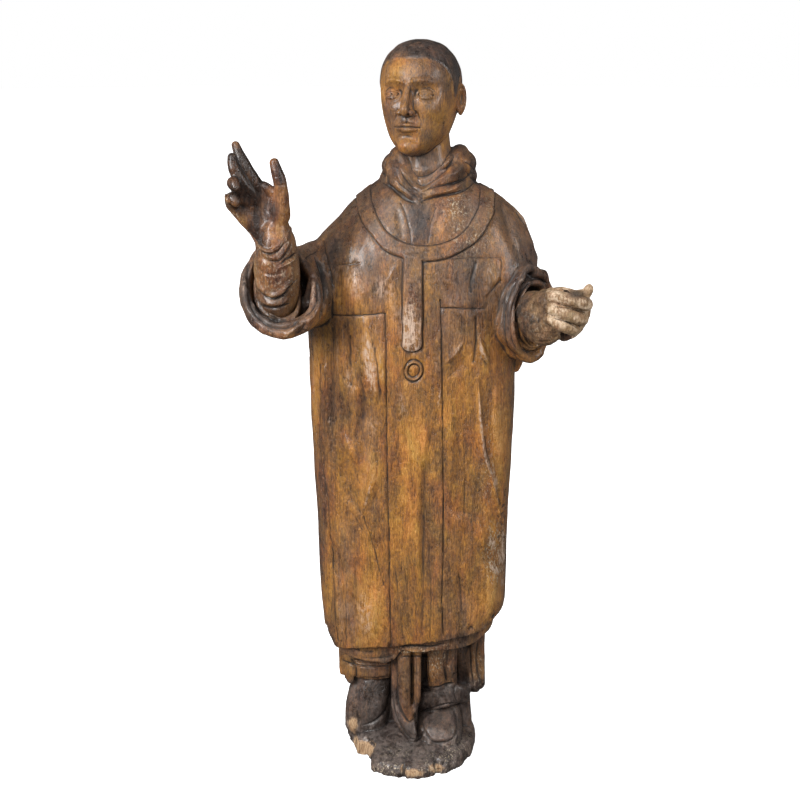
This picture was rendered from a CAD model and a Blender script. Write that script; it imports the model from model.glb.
import math

import bpy
import numpy as np
from mathutils import Matrix, Vector


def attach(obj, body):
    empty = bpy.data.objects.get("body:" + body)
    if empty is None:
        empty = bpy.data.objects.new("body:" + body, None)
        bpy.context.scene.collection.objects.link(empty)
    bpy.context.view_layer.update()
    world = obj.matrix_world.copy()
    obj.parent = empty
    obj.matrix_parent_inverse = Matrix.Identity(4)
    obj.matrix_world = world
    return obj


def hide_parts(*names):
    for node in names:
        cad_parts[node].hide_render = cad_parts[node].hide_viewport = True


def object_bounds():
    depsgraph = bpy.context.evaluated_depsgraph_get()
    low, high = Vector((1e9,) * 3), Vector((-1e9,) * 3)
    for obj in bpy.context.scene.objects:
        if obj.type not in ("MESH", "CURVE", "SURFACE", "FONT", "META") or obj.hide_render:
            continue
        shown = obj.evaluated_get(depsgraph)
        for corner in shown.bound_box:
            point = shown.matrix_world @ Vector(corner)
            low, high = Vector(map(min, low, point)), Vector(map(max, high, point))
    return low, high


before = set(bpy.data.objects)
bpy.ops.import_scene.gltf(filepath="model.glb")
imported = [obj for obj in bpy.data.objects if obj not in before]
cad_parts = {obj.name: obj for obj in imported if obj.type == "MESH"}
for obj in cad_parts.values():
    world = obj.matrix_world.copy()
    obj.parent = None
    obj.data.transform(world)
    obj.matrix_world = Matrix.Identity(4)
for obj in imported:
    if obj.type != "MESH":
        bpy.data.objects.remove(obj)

# Carved wooden saint, 1.50 m tall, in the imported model's frame: metres, +Z up, facing -Y.
# Three pieces of wood: the figure with its base, the raised forearm and the closed fist.
CAD_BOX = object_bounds()

BODY_VOXEL = 0.0017
HEAD_VOXEL = 0.0012
HAND_VOXEL = 0.0011
BODY_TRIANGLES = 128000
HEAD_TRIANGLES = 60000
HAND_TRIANGLES = 60000

HEAD_CENTRE = Vector((0.003, -0.022, 1.3955))
HEAD_TURN = math.radians(-18)
HEAD_NOD = math.radians(-3)
HEAD_PLACE = (
    Matrix.Translation(HEAD_CENTRE)
    @ Matrix.Rotation(HEAD_TURN, 4, "Z")
    @ Matrix.Rotation(HEAD_NOD, 4, "X")
)
STAFF_HOLE = Vector((0.2775, -0.176, 1.002))
STAFF_HOLE_RADIUS = 0.0105


# Tables written as text, to keep them short; most lengths stand in tenths of a millimetre.


TENTHS = 10000


def numbers(text, *units):
    """Rows of numbers from text, parted by commas. Each column is divided by its unit, and the
    columns past the last unit by that one.
    """
    found = [[float(number) for number in row.split()] for row in text.split(",")]
    return [tuple(n / units[min(i, len(units) - 1)] for i, n in enumerate(row)) for row in found]


def number_sets(text, *units):
    """Several such tables, parted by semicolons."""
    return [numbers(part, *units) for part in text.split(";")]


def strokes(text, place=(1,), rest=(1, TENTHS, 1)):
    """Drawn lines from text, parted by semicolons: the points, a bar, and one row more, mostly
    the half-width and the height.
    """
    parts = [part.split("|") for part in text.split(";")]
    return [(numbers(path, *place), *numbers(more, *rest)[0]) for path, more in parts]


# Curves, ramps and fixed random fields.


def through(stations, at):
    """Rows of values along a cubic curve through the stations, each (parameter, value, value, ...).

    The slope at a station is that of its two neighbours.
    """
    table = np.array(stations, float)
    knots, values = table[:, 0], table[:, 1:]
    slopes = np.gradient(values, knots, axis=0)
    at = np.clip(np.atleast_1d(at), knots[0], knots[-1])
    left = np.clip(np.searchsorted(knots, at, side="right") - 1, 0, len(knots) - 2)
    span = (knots[left + 1] - knots[left])[:, None]
    t = ((at - knots[left])[:, None]) / span
    return (
        values[left] * (2 * t**3 - 3 * t**2 + 1)
        + slopes[left] * span * (t**3 - 2 * t**2 + t)
        + values[left + 1] * (3 * t**2 - 2 * t**3)
        + slopes[left + 1] * span * (t**3 - t**2)
    )


def ramp(low, high, value):
    """0 at low, 1 at high, and 3 t^2 - 2 t^3 between them; low may be the larger."""
    t = np.clip((value - low) / (high - low), 0, 1)
    return t * t * (3 - 2 * t)


def bump(value, middle, width):
    """exp(-((value - middle) / width)^2)."""
    return np.exp(-(((value - middle) / width) ** 2))


def squashed(value, power):
    """The value's sign times its size to a power."""
    return np.sign(value) * np.abs(value) ** power


def unit(vectors):
    """The same directions, 1 long."""
    return vectors / np.linalg.norm(vectors, axis=-1, keepdims=True)


# The photograph's camera: where it stands, its focal length and half its picture in 800ths of the
# picture's width, and how far it looks down.
EYE_POINT = np.array((-0.036, -2.6, 1.5))
EYE_SPAN = 1314
EYE_MIDDLE = 400
EYE_DROP = math.radians(15.4)
DROP_COS, DROP_SIN = math.cos(EYE_DROP), math.sin(EYE_DROP)


def viewed(points):
    """Where each point is seen from that camera: 800ths of a view, across and down."""
    x, y, z = (points - EYE_POINT).T
    depth = y * DROP_COS - z * DROP_SIN
    rise = y * DROP_SIN + z * DROP_COS
    return np.column_stack((EYE_MIDDLE + EYE_SPAN * x / depth, EYE_MIDDLE - EYE_SPAN * rise / depth))


def sited(stations):
    """Numbered stations (n, x, y, z, ...) from stations (across, down, y, ...) in that view."""
    table = np.array(stations, float)
    slope = (EYE_MIDDLE - table[:, 1]) / EYE_SPAN
    y = table[:, 2] - EYE_POINT[1]
    z = y * (DROP_COS * slope - DROP_SIN) / (DROP_COS + DROP_SIN * slope)
    x = (table[:, 0] - EYE_MIDDLE) / EYE_SPAN * (DROP_COS * y - DROP_SIN * z)
    place = np.column_stack((x, y, z)) + EYE_POINT
    return np.column_stack((np.arange(len(table)), place, table[:, 3:]))


def facing(normals):
    """1 where the skin faces that place, 0 where it is turned away."""
    return ramp(0.04, 0.3, normals @ np.array((0, -DROP_COS, DROP_SIN)))


DICE = np.random.default_rng(11).random(8192) * 2 - 1


def roll(cell, seed):
    """A fixed random number from -1 to 1 for each whole-number cell (x, y, z)."""
    mixed = (cell[..., 0] * 73856093) ^ (cell[..., 1] * 19349663) ^ (cell[..., 2] * 83492791)
    mixed = mixed ^ (seed * 7919 + 131)
    return DICE[(mixed ^ (mixed >> 13)) & 8191]


def mottle(points, size, seed=0):
    """Smooth random field from -1 to 1: cell corners' random numbers, blended across each cell.

    The cells are size wide, one length or three.
    """
    q = points / np.array(size, float)
    cell = np.floor(q).astype(np.int64)
    t = q - cell
    t = t * t * (3 - 2 * t)
    total = 0
    for corner in np.ndindex(2, 2, 2):
        weight = np.prod(np.where(np.array(corner) == 1, t, 1 - t), axis=-1)
        total = total + weight * roll(cell + np.array(corner), seed)
    return total


def mottled(points, *layers):
    """Sum of such fields, each (strength, size along x, y and z, seed)."""
    return sum(layer[0] * mottle(points, layer[1:4], layer[4]) for layer in layers)


def gouge_cuts(points, size, seed):
    """Shallow scoops of a gouge: the squared distance to the nearest of one random point a cell."""
    q = points / np.array(size, float)
    cell = np.floor(q).astype(np.int64)
    nearest = np.full(len(q), 0.6)
    for step in np.ndindex(3, 3, 3):
        other = cell + np.array(step) - 1
        spot = other + 0.5 + 0.42 * np.stack([roll(other, seed + k) for k in range(3)], -1)
        nearest = np.minimum(nearest, ((q - spot) ** 2).sum(-1))
    return nearest


def mark(points, path, half_width, taper=0.0, step=False):
    """Nearness to a drawn line: exp(-(distance / half width)^2) to the nearest part of the path.

    A taper thins it towards both ends. A step is that times tanh(5 * distance / half width), above
    nought to the left of a line drawn downward in the view and below nought to its right.
    """
    path = np.array(path, float)
    low, high = path.min(0) - 3 * half_width, path.max(0) + 3 * half_width
    found = np.nonzero(np.all((points > low) & (points < high), axis=1))[0]
    near = np.zeros(len(points))
    if not len(found):
        return near
    p = points[found]
    lengths = np.linalg.norm(np.diff(path, axis=0), axis=1)
    start = np.concatenate(([0], np.cumsum(lengths)))
    best, run, side = np.full(len(p), 1e9), np.zeros(len(p)), np.ones(len(p))
    for i, (a, b) in enumerate(zip(path, path[1:])):
        t = np.clip((p - a) @ (b - a) / lengths[i] ** 2, 0, 1)
        off = np.linalg.norm(p - a - t[:, None] * (b - a), axis=1)
        closer = off < best
        best = np.where(closer, off, best)
        run = np.where(closer, start[i] + t * lengths[i], run)
        if step:
            across = (b - a)[0] * (p - a)[:, 1] - (b - a)[1] * (p - a)[:, 0]
            side = np.where(closer, np.tanh(5 * np.sign(across) * off / half_width), side)
    width = half_width
    if taper:
        ends = np.minimum(run, start[-1] - run) / (taper * start[-1])
        width = half_width * np.clip(0.25 + 0.75 * ends, 0.25, 1)
    near[found] = np.exp(-((best / width) ** 2)) * (width / half_width) * side
    return near


def drawn(stations, steps=28):
    """A smooth line through drawn points, as a path of short straight parts."""
    table = np.array(stations, float)
    at = np.arange(len(table))
    return through(np.column_stack((at, table)), np.linspace(0, at[-1], steps))


def carved(seen, table, taper=0.3):
    """Sum of the drawn lines of a table: each (path in the view, half-width, height, and step)."""
    return sum(line[2] * mark(seen, drawn(line[0]), line[1], taper, len(line) > 3) for line in table)


def check(x, top, foot, wander, seed, steps=16):
    """A drying crack drawn from top to foot, wandering to both sides as a summed roll."""
    share = np.linspace(0, 1, steps)
    cell = np.stack((np.arange(steps), np.full(steps, seed), np.full(steps, 5)), -1)
    stray = np.cumsum(roll(cell, seed)) * wander
    return np.column_stack((x + stray - stray[0] * (1 - share), top + (foot - top) * share))


# Skins: closed surfaces as rows of points.


def skin(rings):
    """(points, quads, triangles) of rows of points joined row to row.

    Both ends close as a fan on their middle point.
    """
    rows, count = rings.shape[:2]
    points = np.vstack((rings.reshape(-1, 3), rings[0].mean(0), rings[-1].mean(0)))
    i = (np.arange(rows - 1) * count)[:, None]
    j = np.arange(count)[None, :]
    k = (j + 1) % count
    quads = np.stack((i + j, i + k, i + count + k, i + count + j), -1).reshape(-1, 4)
    last = (rows - 1) * count
    low = np.column_stack((np.full(count, rows * count), k[0], j[0]))
    high = np.column_stack((np.full(count, rows * count + 1), last + j[0], last + k[0]))
    return points, quads, np.vstack((low, high))


def frames_along(path, up):
    """Unit directions ahead along a path, to its side and to its top, square to each other."""
    ahead = unit(np.gradient(path, axis=0))
    side = unit(np.cross(ahead, np.array(up, float)))
    return ahead, side, np.cross(side, ahead)


def on_circle(count):
    """The cosines and sines of one turn."""
    a = np.linspace(0, 2 * np.pi, count, endpoint=False)
    return np.cos(a), np.sin(a)


def limb(stations, up=(0, 0, 1), steps=60, around=40, flat=1.0, square=2.0):
    """A limb with round ends.

    Point (t, a) is path(t) + radius(t) * (cos a * side + flat * sin a * top), where path and
    radius run smoothly through the stations, and square over 2 flattens the oval's four sides.
    Past each end the radius falls as a quarter circle.
    """
    table = np.array(stations, float)
    row = through(table, np.linspace(table[0, 0], table[-1, 0], steps))
    path, radius = row[:, :3], row[:, 3]
    ahead, side, top = frames_along(path, up)
    turn = np.linspace(0, np.pi / 2, 8)[1:-1]
    before = path[0] - np.outer(np.sin(turn[::-1]) * radius[0], ahead[0])
    after = path[-1] + np.outer(np.sin(turn) * radius[-1], ahead[-1])
    centre = np.vstack((before, path, after))
    reach = np.concatenate((np.cos(turn[::-1]) * radius[0], radius, np.cos(turn) * radius[-1]))
    side, top = (np.pad(axis, ((6, 6), (0, 0)), "edge")[:, None] for axis in (side, top))
    across, above = (squashed(wave, 2 / square)[:, None] for wave in on_circle(around))
    return skin(centre[:, None] + reach[:, None, None] * (across * side + flat * above * top))


def ball(centre, radii, turn=(0, 0, 0)):
    """An ellipsoid: centre + turned (rx cos u cos v, ry cos u sin v, rz sin u)."""
    u = np.linspace(-np.pi / 2, np.pi / 2, 34)[1:-1, None]
    v = np.linspace(0, 2 * np.pi, 56, endpoint=False)[None, :]
    spots = np.stack((np.cos(u) * np.cos(v), np.cos(u) * np.sin(v), np.sin(u) + 0 * v), -1)
    turned = Matrix.Identity(3)
    for angle, axis in zip(turn, "XYZ"):
        turned = turned @ Matrix.Rotation(angle, 3, axis)
    return skin(spots * np.array(radii) @ np.array(turned).T + np.array(centre))


def mesh_of(name, skins):
    """One mesh from several skins, each left as its own closed shell."""
    shift = np.cumsum([0] + [len(points) for points, _, _ in skins])
    points = np.vstack([s[0] for s in skins]).astype(np.float32)
    quads = np.vstack([s[1] + k for s, k in zip(skins, shift)])
    fans = np.vstack([s[2] + k for s, k in zip(skins, shift)])
    loops = np.concatenate((quads.ravel(), fans.ravel())).astype(np.int32)
    starts = np.concatenate((np.arange(len(quads)) * 4, len(quads) * 4 + np.arange(len(fans)) * 3))
    mesh = bpy.data.meshes.new(name)
    mesh.vertices.add(len(points))
    mesh.vertices.foreach_set("co", points.ravel())
    mesh.loops.add(len(loops))
    mesh.loops.foreach_set("vertex_index", loops)
    mesh.polygons.add(len(starts))
    mesh.polygons.foreach_set("loop_start", starts.astype(np.int32))
    mesh.update(calc_edges=True)
    return mesh


def placed(name, data):
    """A new object in the scene."""
    thing = bpy.data.objects.new(name, data)
    bpy.context.scene.collection.objects.link(thing)
    return thing


def settle(thing):
    """Replaces an object's mesh by what its modifiers make of it."""
    bpy.context.view_layer.update()
    graph = bpy.context.evaluated_depsgraph_get()
    made = bpy.data.meshes.new_from_object(thing.evaluated_get(graph))
    thing.modifiers.clear()
    thing.data = made
    made.name = thing.name


def fuse(name, skins, voxel, rounds=2):
    """One closed skin over all the given ones, on a grid of small cubes, then lightly smoothed."""
    whole = placed(name, mesh_of(name, skins))
    grid = whole.modifiers.new("grid", "REMESH")
    grid.mode = "VOXEL"
    grid.voxel_size = voxel
    smooth = whole.modifiers.new("smooth", "SMOOTH")
    smooth.iterations = rounds
    smooth.factor = 0.5
    settle(whole)
    return whole


def neighbours(mesh, count):
    """The two ends of every edge, and how many edges meet at each point."""
    edges = np.empty(len(mesh.edges) * 2, np.int32)
    mesh.edges.foreach_get("vertices", edges)
    a, b = edges.reshape(-1, 2).T
    return a, b, np.maximum(np.bincount(a, minlength=count) + np.bincount(b, minlength=count), 1)


def averaged(points, a, b, count):
    """Each point's neighbours' middle."""
    near = [
        np.bincount(a, points[b, k], len(points)) + np.bincount(b, points[a, k], len(points))
        for k in range(3)
    ]
    return np.stack(near, -1) / count[:, None]


def read_points(mesh):
    """Places and normals of a mesh's points."""
    found = np.empty((2, len(mesh.vertices) * 3), np.float32)
    mesh.vertices.foreach_get("co", found[0])
    mesh.vertices.foreach_get("normal", found[1])
    return found.reshape(2, -1, 3).astype(float)


def write_points(mesh, points):
    """Moves a mesh's points."""
    mesh.vertices.foreach_set("co", points.astype(np.float32).ravel())
    mesh.update()


def soften(thing, rounds, weight):
    """Rounds off a skin where weight(points) is above 0: each round moves a point by that share
    of the way to its neighbours' middle.
    """
    points, _ = read_points(thing.data)
    share = weight(points)[:, None]
    a, b, count = neighbours(thing.data, len(points))
    for _ in range(rounds):
        points += share * (averaged(points, a, b, count) - points)
    write_points(thing.data, points)


def carve(thing, relief):
    """Moves each point of the skin along its normal by relief(points, normals)."""
    points, normals = read_points(thing.data)
    write_points(thing.data, points + normals * relief(points, normals)[:, None])


def keep_within(thing, ease=0.005):
    """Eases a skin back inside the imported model's box: the last 5 mm are squeezed by a tanh."""
    points, _ = read_points(thing.data)
    low, high = (np.array(corner) for corner in CAD_BOX)
    over, under = points - (high - ease), (low + ease) - points
    points = np.where(over > 0, high - ease + ease * np.tanh(over / ease), points)
    points[:, :2] = np.where(under > 0, low + ease - ease * np.tanh(under / ease), points)[:, :2]
    write_points(thing.data, points)


def stand_out(mesh, rounds):
    """How far each point stands above the skin round it, below nought in a hollow.

    Each round moves every point to the middle of its neighbours; what is left is the height.
    """
    points, normals = read_points(mesh)
    a, b, count = neighbours(mesh, len(points))
    soft = points
    for _ in range(rounds):
        soft = averaged(soft, a, b, count)
    return ((points - soft) * normals).sum(1)


MASKS = ("gold", "bloom", "grime", "rub", "gesso", "fresh")


def keep_masks(thing, masks):
    """Stores each mask, one number a point, as an attribute that the finish reads."""
    for name, values in zip(MASKS, masks):
        layer = thing.data.attributes.new(name, "FLOAT", "POINT")
        layer.data.foreach_set("value", np.clip(values, 0, 1).astype(np.float32))


def thin_to(thing, triangles):
    """Thins a dense skin to about so many triangles, most where it is plain."""
    count = 2 * len(thing.data.polygons)
    if count <= triangles:
        return
    thin = thing.modifiers.new("thin", "DECIMATE")
    thin.ratio = triangles / count
    settle(thing)


def boolean(thing, other, operation):
    """Joins another closed skin to this one, or cuts it away, and drops the other."""
    step = thing.modifiers.new("solid", "BOOLEAN")
    step.operation = operation
    step.object = other
    step.solver = "MANIFOLD"
    settle(thing)
    bpy.data.objects.remove(other)


def rod(name, start, end, radius):
    """A plain round rod between two points, to cut with."""
    start, end = np.array(start, float), np.array(end, float)
    path = start + (end - start) * np.linspace(0, 1, 12)[:, None]
    up = (0, 1, 0) if abs(end[2] - start[2]) > np.linalg.norm((end - start)[:2]) else (0, 0, 1)
    _, side, top = frames_along(path, up)
    cosine, sine = (wave[:, None] for wave in on_circle(40))
    rings = path[:, None] + radius * (cosine * side[:, None] - sine * top[:, None])
    return placed(name, mesh_of(name, [skin(rings)]))


# The robe. Chasuble: height, reach to the left, right, front and back, and squareness.
CHASUBLE = numbers("""
    2600 1940 1760 1180 1100 27, 3400 2020 1850 1220 1120 27, 5600 2090 1880 1260 1100 26,
    7800 2180 1960 1320 1140 25, 9000 2210 1990 1380 1200 24, 10000 2200 2140 1370 1240 23,
    10700 2220 2380 1320 1240 22, 11100 2040 2280 1240 1200 21, 11600 1580 2010 1080 1100 21,
    12000 1210 1630 900 960 20, 12350 750 1050 660 780 20
""", *[TENTHS] * 5, 10)
CHASUBLE_TOP = 1.235
# Hems: angle round the figure in degrees, from its left side by the front, and height.
HEM = numbers("""
    -180 3080, -168 3000, -160 2900, -149 2670, -140 2680, -127 2750, -111 2820, -101 2850, -90 2930,
    -70 3050, -50 3200, -30 3340, -12 3480, 0 3620, 25 3660, 60 3450, 90 3250, 130 3180, 180 3080
""", 1, TENTHS)
UNDER_HEM = numbers("""
    -180 2620, -165 2520, -152 2438, -137 2412, -125 2395, -113 2387, -103 2404, -99.5 2500, -97 2660,
    -90 2680, -60 2720, -30 2900, 0 3000, 60 2700, 120 2600, 180 2620
""", 1, TENTHS)
ALB = numbers("""
    1000 1520 1340 140 1060 25, 2000 1600 1360 160 1060 25, 2800 1660 1420 220 1040 25,
    3200 1700 1480 600 1040 25
""", *[TENTHS] * 5, 10)
ALB_HEM = numbers("""
    -180 1660, -166 1500, -152 1380, -138 1900, -120 2250, -60 2250, -40 1900, -18 1240, 0 1240, 40 1160,
    90 1040, 140 1180, 180 1660
""", 1, TENTHS)
CORE = numbers("""
    200 1300 1240 100 1160 24, 1000 1240 1180 40 980 24, 2600 1220 1120 100 920 24
""", *[TENTHS] * 5, 10)


def gown(table, hem, top, rows, count, inset=0.0, waves=0.0):
    """Cloth round the figure.

    At share s of the way down and angle a the point is (reach * squared cosine, reach * squared
    sine, top + s * (hem(a) - top)). The reaches and the squareness come from the table at that
    height, less the inset, and an upright wave of 13 deepens with s.
    """
    angle = np.linspace(0, 2 * np.pi, count, endpoint=False)
    low = through(hem, (np.degrees(angle) + 180) % 360 - 180)[:, 0]
    share = np.linspace(0, 1, rows)[:, None]
    height = top + (low - top) * share
    left, right, front, back, square = through(table, height.ravel()).T.reshape(5, rows, count)
    x, y = squashed(np.cos(angle), 2 / square), squashed(np.sin(angle), 2 / square)
    swell = 1 + waves * share * np.cos(13 * angle + 0.6)
    x = x * (np.where(x > 0, right, left) - inset) * swell
    y = y * (np.where(y > 0, back, front) - inset) * swell
    return skin(np.stack((x, y, height), -1)[::-1])


# Sleeves as rings: middle, the way the ring faces, half-width across and half-height upward.
# They run from inside the body to a rolled lip, and back down inside the mouth.
RING_UNITS = (1, *[TENTHS] * 3, 100, 100, 100, TENTHS)
RIGHT_SLEEVE = numbers("""
    0 -1200 100 10600 -80 -30 -10 750 800, 1 -1850 -200 10340 -70 -60 -5 780 800,
    2 -2320 -700 10260 -38 -75 25 740 840, 3 -2560 -1180 10300 -14 -76 52 720 940,
    4 -2620 -1460 10350 -6 -75 65 770 1040, 5 -2620 -1620 10480 -6 -75 65 720 970,
    6 -2620 -1610 10510 -6 -75 65 600 830, 7 -2620 -1470 10410 -6 -75 65 560 760,
    8 -2600 -1230 10200 -6 -75 65 540 720, 9 -2600 -1040 10020 -6 -75 65 460 600
""", *RING_UNITS)
# The tunic's own sleeves inside them, thin shells that line the mouths.
RIGHT_INNER_SLEEVE = numbers("""
    0 -2620 -1080 10000 -6 -75 65 500 640, 1 -2660 -1400 10280 -6 -75 65 455 680,
    1.6 -2670 -1520 10390 -6 -75 65 445 690, 2.2 -2670 -1560 10430 -6 -75 65 410 650,
    2.8 -2670 -1520 10400 -6 -75 65 370 590, 4 -2640 -1200 10100 -6 -75 65 360 500
""", *RING_UNITS)
LEFT_SLEEVE = numbers("""
    0 840 100 10100 80 -35 -5 750 950, 1 1340 -40 9940 75 -50 -2 760 920, 2 1740 -250 9840 72 -58 2 740 920,
    3 2000 -560 9810 70 -64 4 700 950, 4 2200 -790 9800 70 -68 5 700 960, 5 2250 -850 9800 70 -68 5 660 920,
    6 2230 -840 9810 70 -68 5 580 810, 7 2060 -760 9850 70 -68 5 550 740, 8 1950 -660 9850 70 -68 5 500 660
""", *RING_UNITS)
LEFT_INNER_SLEEVE = numbers("""
    0 1800 -480 9840 70 -68 5 500 680, 1 2020 -670 9820 70 -68 5 510 710, 2 2250 -860 9800 70 -68 5 490 690,
    2.6 2280 -890 9800 70 -68 5 450 640, 3.2 2240 -850 9800 70 -68 5 410 580,
    4 2040 -700 9830 70 -68 5 380 520, 5 1860 -540 9840 70 -68 5 340 480
""", *RING_UNITS)
RIGHT_LEAN = math.radians(20)
LEFT_LEAN = math.radians(-4)
SLEEVE_FOOT = 0.88
LIP_RING = 6


def mouth_axes(faces, lean):
    """Side and rise of a ring that faces one way: square to it, and leaning sideways."""
    side = unit(np.cross(faces, (0, 0, 1.0)))
    rise = np.cross(side, faces)
    cosine, sine = math.cos(lean), math.sin(lean)
    return side * cosine - rise * sine, rise * cosine + side * sine


def sleeve(table, waves, lean, count=200, rows=150, wavy=0.035, pleats=0.0):
    """A wide sleeve from its table of rings.

    Point (t, a) is middle(t) + half-width * cos a * side + half-height * sin a * rise, where side
    and rise are square to the way the ring faces and lean sideways. The oval swells by a wave
    round it, and by pleats that run along the outside and fade at the mouth.
    """
    at = np.linspace(0, table[-1][0], rows)
    row = through(table, at)
    side, rise = mouth_axes(unit(row[:, 3:6]), lean)
    a = np.linspace(0, 2 * np.pi, count, endpoint=False)[None, :]
    outside = (ramp(0.6, 1.6, at) * ramp(4.6, 3.4, at))[:, None]
    wave = 1 + wavy * np.cos(waves * a + 1.1)
    wave = wave + pleats * outside * np.cos(7 * a + 0.9 * at[:, None]) * (1 + 0.5 * np.cos(2 * a))
    across = (row[:, 6:7] * wave * np.cos(a))[..., None] * side[:, None]
    above = (row[:, 7:8] * wave * np.sin(a))[..., None] * rise[:, None]
    return skin(row[:, None, :3] + across + above)


# Amice rolls: half-width, half-depth, heights at the V and the back, thickness, power, start, end.
AMICE_ROLLS = numbers("""
    800 800 12030 12400 155 6 -1.05 0.98, 715 750 12140 12620 215 8 -0.98 1.05,
    620 660 12320 12810 165 10 -1.03 1
""", *[TENTHS] * 5, 1)
NECK_MIDDLE = (0.019, 0.004)


def amice():
    """Thick rolls of cloth round the neck.

    Each roll's path is an oval in plan whose height drops from the back to the V as a power of its
    share of the way round, with a slow swell in its thickness; the V lies a little to the right.
    """
    rolls = []
    for half_width, half_depth, dip, rise, thick, power, start, end in AMICE_ROLLS:
        turn = np.linspace(start * np.pi, end * np.pi, 41)
        front = 0.5 - 0.5 * np.cos(turn)
        path = np.column_stack((
            np.arange(41),
            NECK_MIDDLE[0] + half_width * np.sin(turn) - 0.014 * front**6,
            NECK_MIDDLE[1] + half_depth * np.cos(turn),
            rise + (dip - rise) * front**power + 0.003 * np.sin(3 * turn + 40 * half_width),
            thick * (1 + 0.1 * np.sin(5 * turn) - 0.3 * front**8),
        ))
        rolls.append(limb(path, steps=160, around=48))
    rolls.append(ball((0.006, -0.036, 1.214), (0.036, 0.038, 0.032)))
    return rolls


# Shoes from heel to toe: share of the length, of the width, and of the height.
RIGHT_SHOE_PROFILE = numbers("""
    0 50 92, 20 85 100, 50 98 100, 74 102 97, 86 98 84, 95 82 60, 100 54 32
""", 100)
LEFT_SHOE_PROFILE = numbers("""
    0 50 92, 15 85 100, 35 96 100, 50 100 82, 62 102 56, 75 100 47, 88 90 37, 95 72 27, 100 40 13
""", 100)
RIGHT_SHOE = (RIGHT_SHOE_PROFILE, (-0.09, 0.1, 0.048), (-0.117, -0.034, 0.048), 0.09, 0.11)
LEFT_SHOE = (LEFT_SHOE_PROFILE, (0.058, 0.08, 0.044), (0.0465, -0.09, 0.044), 0.094, 0.104)


def shoe(profile, heel, toe, width, height):
    """A blunt shoe: squared ovals from heel to toe, wide and tall by the profile, flat below."""
    heel, toe = np.array(heel), np.array(toe)
    side = unit(np.cross(toe - heel, (0, 0, 1.0)))
    share = np.linspace(0, 1, 70)
    wide, tall = through(profile, share).T[:, :, None]
    cosine, sine = on_circle(90)
    across = squashed(cosine, 0.6) * width / 2 * wide
    up = np.where(sine > 0, np.abs(sine) ** 0.66 * height * tall, sine * 0.02)
    rings = heel + (toe - heel) * share[:, None, None] + across[..., None] * side
    return skin(rings + up[..., None] * np.array((0, 0, 1.0)))


# Base: a rough rounded slab of the trunk, with bites (angle, width, depth) broken from its edge.
BASE_MIDDLE = (-0.011, 0.0)
BASE_HALF_WIDTH = 0.143
BASE_HALF_DEPTH = 0.1535
BASE_FRONT_HEIGHT = 0.022
BASE_MOUND_HEIGHT = 0.057
BITES = numbers("""
    -2.92 0.3 0.11, -2.5 0.2 0.22, -1.7 0.03 0.035, -1.16 0.045 0.06, -0.55 0.1 0.03
""", 1)


def base_rim(angle, bitten):
    """Reach of the base at each angle: near 1, with slow waves, less the bites."""
    reach = 1 - 0.012 * np.cos(angle) + 0.006 * np.sin(7 * angle) + 0.004 * np.sin(12 * angle + 1)
    for where, width, deep in BITES:
        off = (angle - where + np.pi) % (2 * np.pi) - np.pi
        reach = reach - bitten * deep * np.exp(-((off / width) ** 4))
    return reach


def base():
    """The base: rim outlines stacked up to the front edge, then shrinking up a low mound."""
    angle = np.linspace(0, 2 * np.pi, 420, endpoint=False)
    steps = [(0.0, 0.985), (0.005, 0.995), (0.01, 1.0), (0.016, 0.996), (BASE_FRONT_HEIGHT, 0.975)]
    steps += [(None, share) for share in (0.95, 0.92, 0.88, 0.82, 0.74, 0.64, 0.52, 0.38, 0.24)]
    rings = []
    for level, share in steps:
        reach = base_rim(angle, float(ramp(0.7, 0.93, share))) * share
        x = BASE_MIDDLE[0] + BASE_HALF_WIDTH * reach * np.cos(angle)
        y = BASE_MIDDLE[1] + BASE_HALF_DEPTH * reach * np.sin(angle)
        top = BASE_FRONT_HEIGHT + 0.016 * ramp(-0.15, 0.1, y)
        if level is None:
            height = top + (BASE_MOUND_HEIGHT - top) * (1 - share**2) ** 0.75
            height = height + 0.0015 * np.sin(3 * angle + 4 * share)
        else:
            height = level * top / BASE_FRONT_HEIGHT
        rings.append(np.column_stack((x, y, height)))
    return skin(np.array(rings))


# Cloth and shoe tops below the hem, placed in the view: (across, down, y, radius), then flatness
# and squareness.
HANGING_FOLDS = strokes("""
    404 640 -820 135, 404 668 -800 138, 405 698 -760 128, 408 711 -750 95, 411 719 -750 45 | 0.8 2.4;
    417.5 640 -740 82, 417.5 675 -720 85, 417 698 -700 80, 414 712 -720 50 | 0.9 2.6;
    395 650 -500 90, 396 690 -540 110, 399.5 706 -600 180, 403.5 717 -660 215, 407.5 726 -740 185,
    410.5 733 -800 140, 412 737 -830 100 | 0.55 2.8;
    407 650 -400 280, 407 700 -420 250, 410 724 -540 160 | 0.8 2.6;
    405 640 -620 140, 406 692 -600 140 | 1 2.4;
    356 668 -140 200, 375 670 -220 215, 394 667 -140 200 | 0.6 3.2;
    437 642 -520 205, 436 668 -480 195, 436.5 684 -380 190 | 0.6 3.6;
    450 640 -440 160, 450 668 -380 150, 450.5 684 -300 135 | 0.6 3.2;
    424 700 -240 215, 433 699 -320 235, 445 696.5 -340 235, 456 693.5 -280 225, 463 692.5 -160 190 | 0.6 3.2;
    462 691 -180 160, 463 697 -160 150 | 0.9 2.2;
    478 628 -160 150, 478 655 -100 155, 477.5 683 -60 165 | 0.45 3.6;
    471 650 -100 80, 472 683 -60 80 | 0.8 2.6;
    343.5 645 -120 120, 343 672 -100 85 | 0.6 3;
    350 648 -160 150, 350.5 680 -120 95 | 0.5 3;
    376 672 120 330, 373 688 80 400, 369.5 704 60 450, 367 718 40 430 | 0.85 2.7
""", (1, 1, TENTHS), (1,))
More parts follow.
